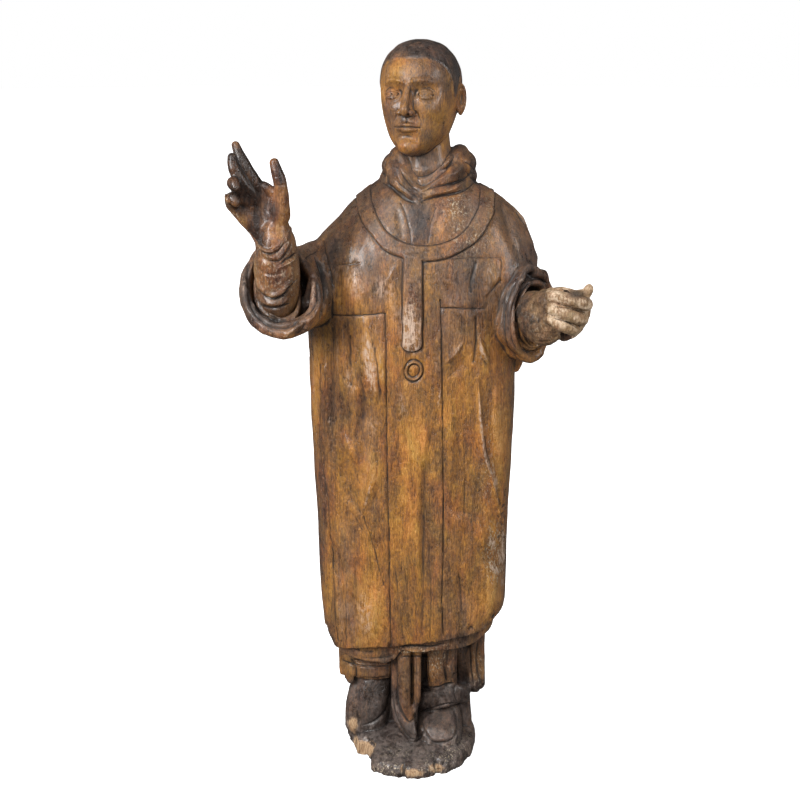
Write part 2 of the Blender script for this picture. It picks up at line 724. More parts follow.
# Ends and inner turns of the sleeves' cloth, placed the same way.
SLEEVE_TURNS = strokes("""
    512 350 -340 130, 517.5 360 -340 115, 515.5 368 -320 90 | 0.8 2.2;
    533 274 -600 100, 541 274 -480 115, 545 281 -450 100 | 0.9 2.2;
    312 276 -1500 60, 310 290 -1520 80, 306 303 -1540 80, 301 312 -1520 70 | 0.9 2.2
""", (1, 1, TENTHS), (1,))
# Lines below the hem, drawn in the view: path, half-width, height.
LOW_LINES = strokes("""
    342 654, 362 658, 380 658, 397 655 | 1.8 -20;
    342 660, 352 664, 364 666, 378 666.5, 390 665 | 1.2 -34;
    400 652, 415 651, 432 652 | 2.6 26;
    400 646.5, 415 646, 432 646.5, 445 643 | 1.2 -30;
    400 657, 415 656.5, 430 657 | 1.2 -26;
    360 678, 375 679, 391 677 | 1.3 -50;
    391 690, 389 700, 387 708, 383 714, 378 719, 371 723, 362 725 | 1.4 -40;
    364 686, 362 702, 364 716 | 5 22;
    378 690, 380 702, 374 712 | 4 20;
    411.8 658, 412 680, 412 700 | 1 -40;
    421 687, 433 688.5, 441 687, 446 684.5, 456 683 | 1.2 -44;
    420 711, 430 709.5, 440 706.5, 446 704.5, 455 704, 463 703 | 1.1 -50;
    456 684, 454.5 690, 455 697, 458 703 | 1 -34;
    452 706, 455 712, 457.5 720, 457.5 730, 454 738, 448 741.5, 440 743, 433 742, 427 736, 423 728, 422 714
    | 1.2 -34;
    428 733, 434 738, 441 739, 450 737 | 1.8 18;
    425 690, 424 700, 422 708 | 1.6 20;
    428 660, 427 675, 430 684 | 1 -30;
    444 658, 445 670, 447 682 | 1 -30;
    456 645, 456 665, 458 682 | 1.2 -36;
    470 648, 471 668, 474 688 | 1.4 -36;
    478 640, 476 660, 480 684 | 2 -24;
    351 658, 356 668, 356 682 | 1.4 -36;
    391 668, 391 690, 394 708, 398 721, 404 732, 411 739, 418 739, 422 731, 421.5 720 | 1.1 -44;
    397 690, 399 706, 404 716, 410 722, 416 716, 418 706 | 1.2 -30;
    394.5 680, 397 706, 402 721, 409 731, 416 733, 419.5 724 | 2 24;
    376 744, 390 752, 404 758, 420 762 | 1.2 -12;
    384 738, 400 746, 418 752, 436 754 | 1.2 -10;
    444 748, 452 752, 460 748 | 1.4 -14;
    443 766, 446 758, 449 752 | 1 -20
""")
# Pallium, pendant and medallion, in the front view.
PALLIUM_MIDDLE = (0.0135, 1.216)
PALLIUM_AXES = (0.121, 0.111)
PALLIUM_HALF_WIDTH = 0.014
PENDANT_MIDDLE_X = -0.012
PENDANT_HALF_WIDTH = 0.017
PENDANT_TOP, PENDANT_FOOT = 1.105, 0.922
MEDALLION_MIDDLE = (-0.009, 0.88)
MEDALLION_RADII = (0.0162, 0.0208)
# Engraved lines of the robe, drawn in the view: path, half-width, height.
ENGRAVED = strokes("""
    324 241, 325 252, 328.5 264, 331 276, 332.5 290, 333 304, 332 318 | 0.9 -26;
    321 326, 320 360, 320 400, 318.5 440, 324 480, 328 505, 330 540, 334 590, 338 641 | 1 -30;
    400 202, 404 210, 408 222, 410.5 235, 411 243 | 0.8 -22;
    436 207, 433 217, 430 230, 428 243 | 0.7 -18;
    326 264, 342 264.5, 360 263.5 | 0.7 -14;
    423 262, 440 259.5, 455 258.5, 485 257.5, 501 259, 501.5 272, 501 284 | 0.7 -16;
    501 281, 495 287, 488 294, 480 304 | 1.4 -26;
    333 315, 345 315.5, 357 316, 372 314.5, 385 313.5 | 0.9 -32;
    441 308, 455 308.5, 470 309, 483 308.5 | 0.9 -30;
    385 314, 386 360, 387 450, 388 500, 389 540, 390 600, 391 651 | 0.85 -36;
    440.5 300, 442 360, 443 450, 443.5 500, 443 560, 442 600, 444 642 | 0.85 -36;
    476 262, 473 274, 470.5 284, 471 292 | 1.8 -34;
    397 266, 391 274, 388 281 | 1.3 14;
    476 318, 476.5 340, 474 362 | 1.6 -26;
    350 336, 350 360, 352 384 | 2.4 -36;
    352 512, 362 530 | 1.2 -12;
    364 516, 366 524, 372 540, 378 565, 384 585 | 1.2 -16;
    390 515, 393 560, 397 580, 398 602 | 0.8 -14;
    484 436, 490 468, 499 500 | 1.2 -14;
    341 560, 345 600, 346 645 | 0.8 -16;
    429 545, 431 600, 430 640 | 0.7 -14;
    457 560, 462 600, 460 630 | 0.8 -14
""")
# Folds and planes of the robe, the same way; a step drops to the right of a line drawn downward.
DRAPERY = strokes("""
    325 326, 325 380, 326 430 | 4 36;
    333 328, 332 400, 331 452 | 4 -34;
    342 328, 342 370, 346 412 | 6 34;
    350 366, 357 398, 355 430 | 5 36;
    361 378, 364 402, 361 440 | 6.5 -36;
    365 326, 372 362, 377 404 | 4 46;
    376 330, 382 370, 384 404 | 3 32;
    345 436, 357 464 | 4 46;
    341 452, 350 492, 361 514 | 6 -36;
    370 440, 370 475, 363 508 | 8 50;
    380 462, 378 482, 371 502, 363 515 | 8 9 1;
    330 536, 341 584 | 5 -36;
    335 590, 342 645 | 5 30;
    352 585, 353 645 | 6 -34;
    370 580, 375 646 | 11 46;
    443 385, 431 428, 422 468, 420.5 520, 420 580, 420 642 | 13 26 1;
    443 385, 431 428, 422 468, 420.5 520, 420 580, 420 642 | 3 8;
    404 400, 401 500, 405 630 | 8 -22;
    478 336, 482 350, 489 364 | 3.2 50;
    463 342, 454 354, 445 364 | 3 30;
    470 352, 460 366, 448 378 | 5 -26;
    460 385, 464 440, 468 520, 462 560 | 13 -36;
    478 378, 480 430, 484 460, 492 482, 500 517 | 3.4 52;
    495 392, 498 440, 504 482 | 7 36;
    443 499, 455 511, 471 515 | 5 -24;
    478 518, 484 552 | 4 42;
    482 560, 492 592, 487 620 | 10 56;
    461 570, 464 625 | 8 -40;
    452 415, 450 490 | 5 26;
    354 268, 357 296, 355 312 | 8 34;
    340 270, 341 310 | 4 -28;
    376 268, 378 312 | 6 -20;
    486 268, 488 288, 481 304 | 5 34;
    452 285, 450 304 | 6 -24;
    357 204, 347 224, 341 250 | 6 -36;
    372 205, 377 226, 384 240 | 4 16;
    500 204, 512 230, 519 256 | 6 -40;
    510 200, 526 228, 535 256 | 5 40;
    395 205, 400 225, 402 240 | 4 -18;
    450 205, 446 222, 440 238 | 5 18
""")
# Drying checks on the front: place across, top and foot in the view, wander, depth.
CHECKS = numbers("""
    356 545 640 0.5 -20, 372 330 400 0.4 -14, 408 540 644 0.4 -20, 376 600 650 0.3 -16, 430 390 470 0.4 -14,
    466 450 560 0.5 -18, 484 540 610 0.4 -16, 398 400 480 0.4 -16, 366 284 312 0.3 -12, 455 210 240 0.4 -12,
    340 470 530 0.4 -16
""", 1, 1, 1, 1, TENTHS)


def pallium_band(x, z, normals):
    """The neck band of the pallium, its rim and the groove round it, each 1 where it lies: near
    an oval in the front view, its lower half.
    """
    drop = np.maximum(0, PALLIUM_MIDDLE[1] - z)
    oval = np.hypot((x - PALLIUM_MIDDLE[0]) / PALLIUM_AXES[0], drop / PALLIUM_AXES[1])
    off = np.abs(oval - 1) * PALLIUM_AXES[0] - PALLIUM_HALF_WIDTH
    out = ramp(0.3, 0.5, np.abs(normals[:, 1]) + normals[:, 2]) * ramp(1.05, 1.08, z)
    out = out * (0.35 + 0.65 * ramp(1.225, 1.18, z))
    band, rim, groove = ramp(0.0012, -0.001, off), bump(off, -0.003, 0.0011), bump(off, 0.0022, 0.0012)
    return band * out, rim * out, groove * out


def medallion_ring(x, z):
    """Distance from the medallion's middle in its own radii."""
    return np.hypot(
        (x - MEDALLION_MIDDLE[0]) / MEDALLION_RADII[0], (z - MEDALLION_MIDDLE[1]) / MEDALLION_RADII[1]
    )


def above_hem(points):
    """Height of each point above the robe's hem."""
    x, y, z = points.T
    return z - through(HEM, np.degrees(np.arctan2(y, x)))[:, 0]


def robe_relief(points, normals):
    """Height carved on the figure at each point.

    The pallium, the pendant and the medallion stand out as flat bands with sharp rims; engraved
    lines, drapery, checks, back folds, gouge cuts and chips are added to them.
    """
    x, y, z = points.T
    u, v = x + 0.002 * mottle(points, 0.03, 3), z + 0.002 * mottle(points, 0.03, 4)
    front = ramp(0.25, 0.6, -normals[:, 1]) * (y < 0)
    on_robe = ramp(-0.002, 0.012, above_hem(points)) * ramp(1.24, 1.22, z) * ramp(0.225, 0.2, np.abs(x))
    clear = 1 - ramp(0.17, 0.2, np.abs(x)) * (z > SLEEVE_FOOT) * (y < -0.02)
    band, rim, groove = pallium_band(u, v, normals)
    foot = np.hypot(u - PENDANT_MIDDLE_X, np.maximum(0, PENDANT_FOOT + 0.01 - v) * 1.4) - PENDANT_HALF_WIDTH
    hanging = ramp(0.0014, -0.0012, foot) * (z < PENDANT_TOP) * (z > PENDANT_FOOT - 0.02) * front
    raised = np.maximum(0.0044 * band + 0.0003 * rim, 0.0062 * hanging)
    edge = bump(foot, 0.0022, 0.0012) * front * (z < PENDANT_TOP - 0.012) * (z > 0.9)
    edge = edge * np.where(x > PENDANT_MIDDLE_X, 1.5, 0.6)
    raised = raised - 0.0016 * np.maximum(groove * (1 - hanging), edge * (1 - band))
    ring = medallion_ring(u, v)
    for middle, width, high in ((0.89, 0.11, 0.0034), (0.66, 0.09, -0.0032), (1.12, 0.09, -0.0032)):
        raised = raised + front * high * bump(ring, middle, width)
    plain = (1 - np.maximum(band, hanging)) * (1 - ramp(1.35, 1.15, ring))
    seen, towards = viewed(points), facing(normals) * on_robe * clear
    seen = seen + 0.5 * np.column_stack((mottle(points, 0.012, 5), mottle(points, 0.012, 6)))
    raised = raised + carved(seen, ENGRAVED, 0.0) * towards * plain * (1 + 0.3 * mottle(points, 0.02, 7))
    raised = raised + 1.6 * carved(seen, DRAPERY, 0.35) * towards * plain
    for i, (where, top, low, wander, deep) in enumerate(CHECKS):
        raised = raised + deep * mark(seen, check(where, top, low, wander, i), 0.45, 0.5) * towards
    raised = raised + back_folds(points, normals) + below_hem(points, normals)
    return raised + surface_cuts(points, normals, plain)


def back_folds(points, normals):
    """Plain folds down the sides and back: uneven waves round the figure that deepen downward."""
    x, y, z = points.T
    angle = np.arctan2(y * 1.6, x)
    behind = ramp(-0.35, 0.25, normals[:, 1]) * ramp(1.2, 1.05, z) * ramp(0.25, 0.33, z)
    behind = behind * (1 - ramp(0.17, 0.2, np.abs(x)) * (z > 0.9) * (y < 0.03))
    drift = 0.3 * np.sin(2.2 * z + 0.7) + 0.18 * mottle(points * (1, 1, 0.35), 0.12, 21)
    wave = np.sin(9 * (angle + drift)) * 0.6 + np.sin(5 * (angle - 0.6 * drift) + 1.0) * 0.6
    return behind * (0.002 + 0.005 * ramp(1.1, 0.45, z)) * squashed(wave, 0.8)


def below_hem(points, normals):
    """Low relief below the hem: rolled edges, the shoes' seams and soles, and cuts in the mound."""
    low = ramp(0.345, 0.325, points[:, 2]) * (points[:, 1] < 0.03)
    return low * facing(normals) * carved(viewed(points), LOW_LINES, 0.15)


def surface_cuts(points, normals, plain):
    """Tool marks and age: scooped gouge cuts, a hand-made waviness, nicked edges and torn grain."""
    x, y, z = points.T
    out = np.hypot(x + 0.011, y)
    on_base = ramp(0.075, 0.055, z) * ramp(0.045, 0.065, out)
    cuts = 0.0011 * (gouge_cuts(points, (0.017, 0.017, 0.045), 31) - 0.25) * (1 - on_base)
    wavy = mottled(points, (0.0007, 0.035, 0.035, 0.07, 8), (0.0004, 0.012, 0.012, 0.03, 9))
    raised = (cuts * (0.5 + 0.5 * plain) + wavy) * ramp(1.26, 1.24, z)
    raised = raised + mottled(points, (0.00016, 0.0035, 0.0035, 0.02, 10))
    # The base: rough split grain, fibres across the broken rim, pits on top.
    torn = mottled(points, (0.0007, 0.01, 0.01, 0.03, 12), (0.0008, 0.004, 0.004, 0.012, 13))
    rim = ramp(0.03, 0.024, z) * ramp(0.1, 0.125, out) * (z > 0.001)
    splinter = np.minimum(0, mottle(points, (0.009, 0.009, 0.05), 14) - 0.15) * 0.0032
    pits = 0.0018 * ramp(0.45, 0.75, mottle(points, (0.011, 0.016, 0.011), 15))
    raised = raised + on_base * (torn - pits) + rim * splinter
    # The hem: nicks where the edge has been knocked.
    at_edge = bump(above_hem(points), 0.002, 0.009) * (z < 0.42)
    raised = raised - at_edge * 0.004 * ramp(0.25, 0.7, mottle(points, (0.016, 0.016, 0.02), 16))
    # A patch of lost surface on the left edge of the robe.
    patch = mark(points[:, [0, 2]], ((0.172, 0.6), (0.176, 0.56), (0.17, 0.52)), 0.014)
    patch = patch * ramp(0.0, 0.4, -normals[:, 1]) * ramp(-0.1, 0.4, mottle(points, 0.008, 17))
    return raised - 0.0022 * patch


# Head, in its own frame, facing -Y: height, half-width, reach to the front and back, squareness.
HEAD_SECTIONS = numbers("""
    -1130 180 580 -200 20, -1080 290 700 0 20, -960 420 760 240 21, -800 535 780 400 22, -600 610 800 580 23,
    -400 665 810 800 23, -150 715 825 970 23, 100 740 845 1020 22, 350 735 840 1000 22, 580 680 770 900 21,
    810 530 580 680 20, 950 330 360 420 20, 1015 110 120 140 20
""", *[TENTHS] * 4, 10)
NECK = numbers("""
    0 180 200 -1800 620, 1 100 120 -1100 495, 2 40 80 -500 490
""", 1, TENTHS)
NOSE = numbers("""
    0 0 -785 200 52, 1 0 -868 60 58, 2 0 -945 -120 66, 3 0 -1015 -280 84, 3.5 0 -1012 -325 76
""", 1, TENTHS)
NOSE_SIDES = numbers("""
    0 0 -740 140 70, 1 0 -800 -80 95, 2 0 -860 -290 125
""", 1, TENTHS)
EYE = (0.0315, -0.0672, -0.001)
EYE_RADIUS = 0.0122


# Hills and hollows of the face, both sides alike: height, middle across and its width, middle up
# and its width, in tenths of a millimetre.
FACE_HILLS = numbers("""
    12 0 100 240 100, -112 300 180 25 118, -42 145 60 40 95, 50 400 165 -260 150,
    -30 450 130 -620 180, 50 0 270 -580 180, 62 0 165 -950 115, -34 0 160 -760 55,
    -28 600 130 240 200, 10 240 200 480 160
""", TENTHS)
# Lines of the face, both sides alike: path, half-width, height, taper in tenths. From the lid's
# crease and the fold under the eye to the mouth, its corner, the lip's groove, the cheek's fold,
# the nostril's wing and the brow's ridge.
FACE_LINES = strokes("""
    185 40, 250 90, 330 100, 410 72, 470 20 | 12 -18 3;
    200 -80, 280 -110, 380 -105, 450 -70 | 14 -9 3;
    0 -602, 60 -594, 150 -598, 245 -608 | 11 -30 0;
    250 -600, 262 -612 | 24 -10 0;
    0 -440, 0 -520 | 18 -9 0;
    175 -300, 220 -400, 275 -500, 300 -570 | 22 -11 4;
    135 -280, 172 -320, 165 -375 | 11 -11 2;
    85 215, 200 262, 340 275, 480 225 | 26 7 4
""", (TENTHS,), (TENTHS, TENTHS, 10))


def face_forms(x, z):
    """How far the face stands forward of the plain head at (x, z): the brow's arch and the hills."""
    a = np.abs(x)
    arch = 0.0215 + 0.0035 * np.sin(np.clip((a - 0.008) / 0.045, 0, 1) * np.pi)
    forms = 0.005 * bump(z, arch, 0.0062) * ramp(0.003, 0.013, a) * ramp(0.062, 0.042, a)
    for high, across, wide, up, tall in FACE_HILLS:
        forms = forms + high * bump(a, across, wide) * bump(z, up, tall)
    return forms


def head_skin():
    """Skull, face and jaw: squared ovals by height, with the face's forms moved forward."""
    height = np.linspace(HEAD_SECTIONS[0][0], HEAD_SECTIONS[-1][0], 230)
    width, front, back, square = through(HEAD_SECTIONS, height).T[:, :, None]
    x, y = (squashed(wave, 2 / square) for wave in on_circle(300))
    x, y = x * width, y * np.where(y > 0, back, front)
    z = height[:, None] + 0 * x
    return skin(np.stack((x, y - face_forms(x, z) * ramp(-0.01, -0.045, y), z), -1))


def ear(side):
    """An ear as rings of an egg.

    Ring r, angle a lies r * (width cos a, height sin a) along back and up, widest above. It
    stands out by a rolled rim at r = 0.88, an inner fold at r = 0.54 behind, and sinks to a
    hollow in the middle. The same rings, pushed inward, close it behind.
    """
    cosine, sine = on_circle(84)
    share = np.linspace(0.03, 1, 30)[:, None]
    open_front = ramp(-0.55, -0.95, cosine) * ramp(0.8, 0.2, sine)
    rim = bump(share, 0.88, 0.1) * (1 - 0.85 * open_front) * ramp(-0.98, -0.6, sine)
    behind = cosine * math.cos(0.25) + sine * math.sin(0.25)
    fold = bump(share, 0.54, 0.11) * ramp(-0.1, 0.5, behind)
    stand = 0.0026 + 0.0036 * rim + 0.0026 * fold - 0.0036 * bump(share, 0.12, 0.34)
    fade = np.sqrt(np.clip(1 - share**6, 0, 1))
    lean = math.radians(24)
    back_way = unit(np.array((side * math.sin(lean), math.cos(lean), 0.1)))
    up_way = np.array((side * 0.06, 0.13, 1.0))
    up_way = unit(up_way - back_way * (up_way @ back_way))
    out_way = np.cross(back_way, up_way) * side
    back, up = share * 0.0165 * (1 + 0.22 * sine) * cosine, share * 0.031 * sine
    rings = np.array((side * 0.075, 0.015, -0.007)) + back[..., None] * back_way + up[..., None] * up_way
    outward, inward = ((depth * fade)[..., None] * out_way for depth in (stand, -0.003))
    return skin(np.concatenate((rings + outward, (rings + inward)[::-1])))


def lip(top):
    """One lip as a limb: a shallow arc round the teeth, thick in the middle and fine at the ends."""
    s = np.linspace(-1, 1, 15)
    if top:
        z = -0.0555 - 0.003 * s**2 - 0.0012 * bump(s, 0, 0.16)
        y = -0.085 + 0.012 * s**2
        radius = 0.0014 + 0.0034 * (1 - s**2)
    else:
        z = -0.0638 + 0.0034 * s**2
        y = -0.0845 + 0.0125 * s**2
        radius = 0.0014 + 0.0044 * (1 - s**2) ** 0.8
    return limb(np.column_stack((s, 0.0245 * s, y, z, radius)), around=28)


def head_parts():
    """Every shell of the head and neck, in the head's own frame."""
    made = [head_skin(), *[limb(path, up=(0, 1, 0)) for path in (NECK, NOSE, NOSE_SIDES)]]
    made += [lip(True), lip(False), ball((0, -0.069, -0.0945), (0.0215, 0.017, 0.0155))]
    for side in (-1, 1):
        made.append(ball((side * EYE[0], EYE[1], EYE[2]), (EYE_RADIUS * 1.12, EYE_RADIUS, EYE_RADIUS)))
        made.append(ball((side * 0.0112, -0.091, -0.0335), (0.006, 0.0092, 0.0064)))
        made.append(ear(side))
    return made


def neck_relief(points, normals):
    """One soft fold round the throat, in the figure's own frame."""
    return carved(viewed(points), NECK_RING) * facing(normals) * ramp(1.3, 1.29, points[:, 2])


HAIRLINE = numbers("""
    0 660, 30 630, 50 520, 62 340, 70 100, 76 -60, 82 60, 88 280, 100 320, 112 160, 122 -200, 135 -460,
    155 -580, 180 -620
""", 1, TENTHS)


def hair_cover(points):
    """1 under the cropped hair and 0 on bare skin, by height above the hairline at each angle."""
    x, y, z = points.T
    angle = np.degrees(np.arctan2(np.abs(x), -(y - 0.005)))
    line = through(HAIRLINE, angle)[:, 0]
    off_ear = 1 - ramp(0.0755, 0.079, np.abs(x)) * (z < 0.03) * (z > -0.045)
    return ramp(-0.0026, 0.0034, z - line + 0.0012 * mottle(points, 0.012, 41)) * off_ear


def head_relief(points, normals):
    """Height carved on the head: lids, iris, mouth line, nostrils, hair edge and soft tool marks."""
    x, y, z = points.T
    a = np.abs(x)
    forward = ramp(0.0, 0.4, -normals[:, 1]) * (y < -0.04)
    s = (a - EYE[0]) / 0.014
    open_top = EYE[2] + 0.0052 * np.clip(1 - s**2, 0, 1) ** 0.8 - 0.0006 * s
    open_foot = EYE[2] - 0.0042 * np.clip(1 - s**2, 0, 1) ** 0.9 - 0.0006 * s
    around = ramp(0.0175, 0.014, np.hypot((a - EYE[0]) * 0.95, (z - EYE[2]) * 1.25)) * forward
    lids = ramp(-0.0004, 0.0006, z - open_top) + ramp(0.0004, -0.0006, z - open_foot)
    raised = around * 0.002 * np.minimum(lids, 1)
    gaze = np.hypot(a - EYE[0], z - EYE[2] - 0.0006)
    pupil = 0.0005 * bump(gaze, 0.005, 0.0006) + 0.0012 * ramp(0.0022, 0.0014, gaze)
    raised -= ramp(0.4, 0.8, -normals[:, 1]) * (y < -0.07) * pupil
    flat = np.column_stack((a, z))
    for path, half_width, high, taper in FACE_LINES:
        raised += high * mark(flat, drawn(path), half_width, taper) * forward
    under = ramp(0.0, -0.5, normals[:, 2]) * (np.hypot(a - 0.0056, y + 0.0965) < 0.006)
    under = under * (z < -0.034) * (z > -0.045)
    raised -= 0.0024 * bump(np.hypot((a - 0.0056) * 1.2, (y + 0.0965) * 0.8), 0, 0.003) * under
    hair = hair_cover(points)
    turn = np.arctan2(x, y - 0.02)
    locks = np.sin(46 * turn + 5 * mottle(points, 0.03, 43)) * ramp(0.1, 0.05, z)
    raised += hair * (0.0016 + 0.0003 * locks + mottled(points, (0.0002, 0.008, 0.008, 0.02, 44)))
    cuts = gouge_cuts(points, (0.016, 0.016, 0.022), 45) - 0.25
    raised += 0.0007 * cuts * ramp(0.02, 0.05, y + 0.05 * hair)
    return raised + 0.00025 * mottle(points, 0.014, 46) + 0.0001 * mottle(points, 0.0045, 47)


# Folds of the amice each side of its V, drawn in the view: path, half-width, height.
AMICE_CREASES = strokes("""
    387 173, 388 183, 395 190, 402 194, 409 199, 416 202 | 1.6 -34;
    386 168, 391 178, 398 186, 407 193, 417 200 | 2.2 26;
    400 168, 404 177, 411 185, 420 192 | 1.5 -36;
    397 172, 401 181, 408 189, 419 197 | 1.6 24;
    383 183, 391 188, 398 194, 405 199, 412 202, 421 206 | 1.6 -36;
    424 198, 432 194, 441 192, 450 190, 462 185 | 2.2 30;
    423 192, 430 188, 440 186, 452 184, 464 179, 472 172 | 1.5 -44;
    430 184, 441 179, 448 176, 457 172, 463 165 | 2.4 34;
    428 182, 437 175, 445 170, 452 162, 455 154 | 1.5 -40;
    440 168, 447 162, 450 154 | 2 26;
    421 201, 432 198, 445 195, 455 193, 466 189, 474 183 | 1.5 -44;
    462 160, 470 164, 474 170 | 1.6 -26;
    466 172, 476 181, 488 187 | 1.6 -26;
    389 158, 384 168, 385 180 | 1.6 -22
""")
NECK_RING = strokes("""
    403 168, 409 173, 417 177, 426 176, 434 172, 440 166 | 1.6 -26;
    404 163, 411 168, 420 171, 430 169, 438 163 | 2.6 18
""")


def amice_relief(points, normals):
    """Creases that run from the V up to both shoulders, and soft ones on round the back."""
    near = ramp(1.19, 1.203, points[:, 2]) * (np.hypot(points[:, 0] - 0.018, points[:, 1]) < 0.125)
    soft = 0.0012 * mottle(points, (0.03, 0.03, 0.012), 51) + 0.0006 * mottle(points, 0.01, 52)
    return near * (1.25 * carved(viewed(points), AMICE_CREASES) * facing(normals) + soft)


# Creases along the sleeves' outside, in space: points, half-width, height.
SLEEVE_CREASES = strokes("""
    -3300 -1200 11000, -3380 -1500 10500, -3250 -1750 10000 | 50 16;
    -2050 -700 9750, -2450 -1100 9580, -2900 -1500 9620 | 45 -28;
    -2150 -200 9650, -2650 -600 9500, -3150 -1100 9800 | 50 -28;
    -2100 300 9900, -2700 0 9850, -3300 -700 10300 | 55 -30;
    -2000 500 10300, -2600 250 10600, -3150 -500 10900 | 50 -26;
    1600 -1100 9150, 1900 -900 8950, 2250 -550 8850 | 45 -28;
    1800 100 9000, 2300 -100 9050, 2650 -400 9300 | 50 -30;
    1900 400 9500, 2400 200 9650, 2750 -300 9800 | 50 -30;
    1800 500 10100, 2300 300 10300, 2700 -200 10500 | 50 -28;
    1500 -1200 10700, 1900 -1100 10850, 2320 -800 10920 | 40 -26
""", (TENTHS,), (TENTHS,))
# Folds of the two sleeves' mouths, drawn in the view: path, half-width, height.
RIGHT_MOUTH_LINES = strokes("""
    249 260, 248 276, 249.5 292 | 2.2 -40;
    248 292, 251 304, 255.5 313, 261 320, 267 325, 274 328, 282 329, 289 327, 295 322, 301 316 | 2.4 -60;
    250 318, 256 327, 264 332, 274 335.5, 284 337, 293 337 | 2.6 30;
    284 336, 293 330, 300 324 | 2.2 40;
    262 334, 272 338, 284 340 | 1.3 -26;
    296 336, 302 330, 306 322 | 1.6 -30;
    313 278, 313.5 292, 310 301, 305 308 | 2.2 40;
    316.5 282, 317 300, 312 310, 305 316 | 1.5 -52;
    320 298, 316 310, 311 318, 304 323 | 2.4 40;
    301 257, 304 250, 309 245, 318 243, 324 238, 334 229 | 2.4 36;
    304 261, 308 255, 313 252, 318 250 | 1.5 -46;
    314 256, 319 266, 323 280, 325 298, 323 310, 319 320 | 1.8 -70;
    308 262, 313 270, 317 282 | 1.8 26;
    244 268, 243.5 284, 245 300, 249 314 | 2 26;
    253 257, 249 264, 246.5 274 | 1.5 -26;
    256 300, 264 311, 272 317, 281 319, 290 317, 297 311 | 1.4 -26
""")
LEFT_MOUTH_LINES = strokes("""
    519 279, 512 287, 508 297, 505 309, 504 322, 504.5 336, 507 346, 512 353, 519 358, 528 360 | 1.2 -36;
    536 281, 526 285, 519 293, 515 302, 511.5 312, 510 323, 511 336, 514 346, 520 352 | 1.7 -56;
    529 297, 521 303, 516.5 310, 514 320, 514.5 335, 518 344, 524 350 | 1.4 30;
    531 300, 523 306, 518.5 312, 517 322, 518 335, 521 342, 527 347, 534 349, 541 346 | 1.5 -50;
    546 276, 536 274, 526 277, 517 284 | 1.8 28;
    547 284, 538 279, 528 280 | 1.3 -36;
    502 300, 501 320, 502 340 | 1.6 20
""")


def sleeve_relief(points, normals):
    """Creases along both sleeves, facets cut by the knife, and the folds of their mouths."""
    x, y, z = points.T
    seen, outer = viewed(points), (z > SLEEVE_FOOT) * (z < 1.19) * facing(normals)
    right = carved(seen, RIGHT_MOUTH_LINES, 0.15) * ramp(-0.165, -0.18, x)
    left = carved(seen, LEFT_MOUTH_LINES, 0.15) * ramp(0.15, 0.165, x) * ramp(0.02, -0.01, y)
    facets = mottled(points, (0.0024, 0.024, 0.024, 0.03, 53)) + 0.003 * (gouge_cuts(points, 0.03, 54) - 0.25)
    facets = facets * ramp(0.205, 0.235, np.abs(x)) * (z > SLEEVE_FOOT)
    return carved(points, SLEEVE_CREASES) + (right + left) * outer + facets


def figure_relief(points, normals):
    """Height carved on the robe, the amice and the sleeves."""
    return robe_relief(points, normals) + amice_relief(points, normals) + sleeve_relief(points, normals)


# Right hand: stations of (parameter, x, y, z, radius), from the palm to each tip. The forearm and
# its plug follow.
RIGHT_HAND = number_sets("""
    0 -2894 -1960 12330 125, 1 -3000 -2010 12510 118, 2 -3112 -2040 12705 112, 3 -3202 -2035 12872 106,
    4 -3273 -2010 13025 92, 4.6 -3318 -1980 13140 76;
    0 -3000 -1970 12204 130, 1 -3130 -2050 12371 126, 2 -3240 -2110 12534 124, 3 -3320 -2130 12691 118,
    4 -3365 -2120 12835 100, 4.6 -3380 -2105 12935 82;
    0 -3050 -1960 12080 120, 1 -3250 -2040 12320 120, 2 -3345 -2220 12475 120, 3 -3320 -2350 12480 108,
    3.4 -3290 -2395 12430 88;
    0 -3180 -1960 11900 120, 1 -3390 -2030 12060 122, 2 -3405 -2210 12190 122, 3 -3345 -2330 12215 108,
    3.4 -3300 -2370 12170 88;
    0 -2540 -1980 11880 190, 1 -2515 -2060 12130 155, 2 -2510 -2115 12355 130, 3 -2530 -2145 12537 120,
    4 -2580 -2150 12715 108, 4.8 -2618 -2140 12845 86;
    0 -2700 -1840 11500 230, 1 -2740 -1860 11800 225, 2 -2800 -1900 12080 185, 3 -2850 -1950 12300 140;
    0 -2760 -1840 11450 220, 1 -2860 -1860 11720 200, 2 -2960 -1900 11980 165, 3 -2990 -1950 12180 135;
    0 -2840 -1840 11420 190, 1 -3000 -1880 11720 180, 2 -3100 -1920 11950 150, 3 -3100 -1950 12080 130;
    0 -3120 -1990 12120 120, 1 -3250 -2040 12190 105;
    0 -2895 -1840 11530 155, 1 -3085 -1900 11735 150, 2 -3274 -1960 11907 132, 3 -3365 -2010 12030 122;
    0 -2620 -1900 11650 200, 1 -2590 -1970 11900 190, 2 -2595 -2010 12100 160, 3 -2590 -2030 12230 130;
    0 -2600 -2040 12280 100, 1 -2710 -2020 12340 95, 2 -2830 -1990 12400 100
""", 1, TENTHS)
FOREARM = numbers("""
    0 -2620 -1460 9920 250, 1 -2635 -1600 10140 335, 2 -2645 -1700 10480 400, 3 -2650 -1780 10850 425,
    4 -2648 -1840 11220 385, 5 -2650 -1870 11460 350, 5.6 -2660 -1880 11600 290
""", 1, TENTHS)
RIGHT_PLUG = ((-0.265, -0.152, 1.012), (-0.259, -0.082, 0.982))
LEFT_PLUG = ((0.209, -0.117, 0.986), (0.15, -0.052, 0.986))
PLUG_RADIUS = 0.02
PLUG_PLAY = 0.0004
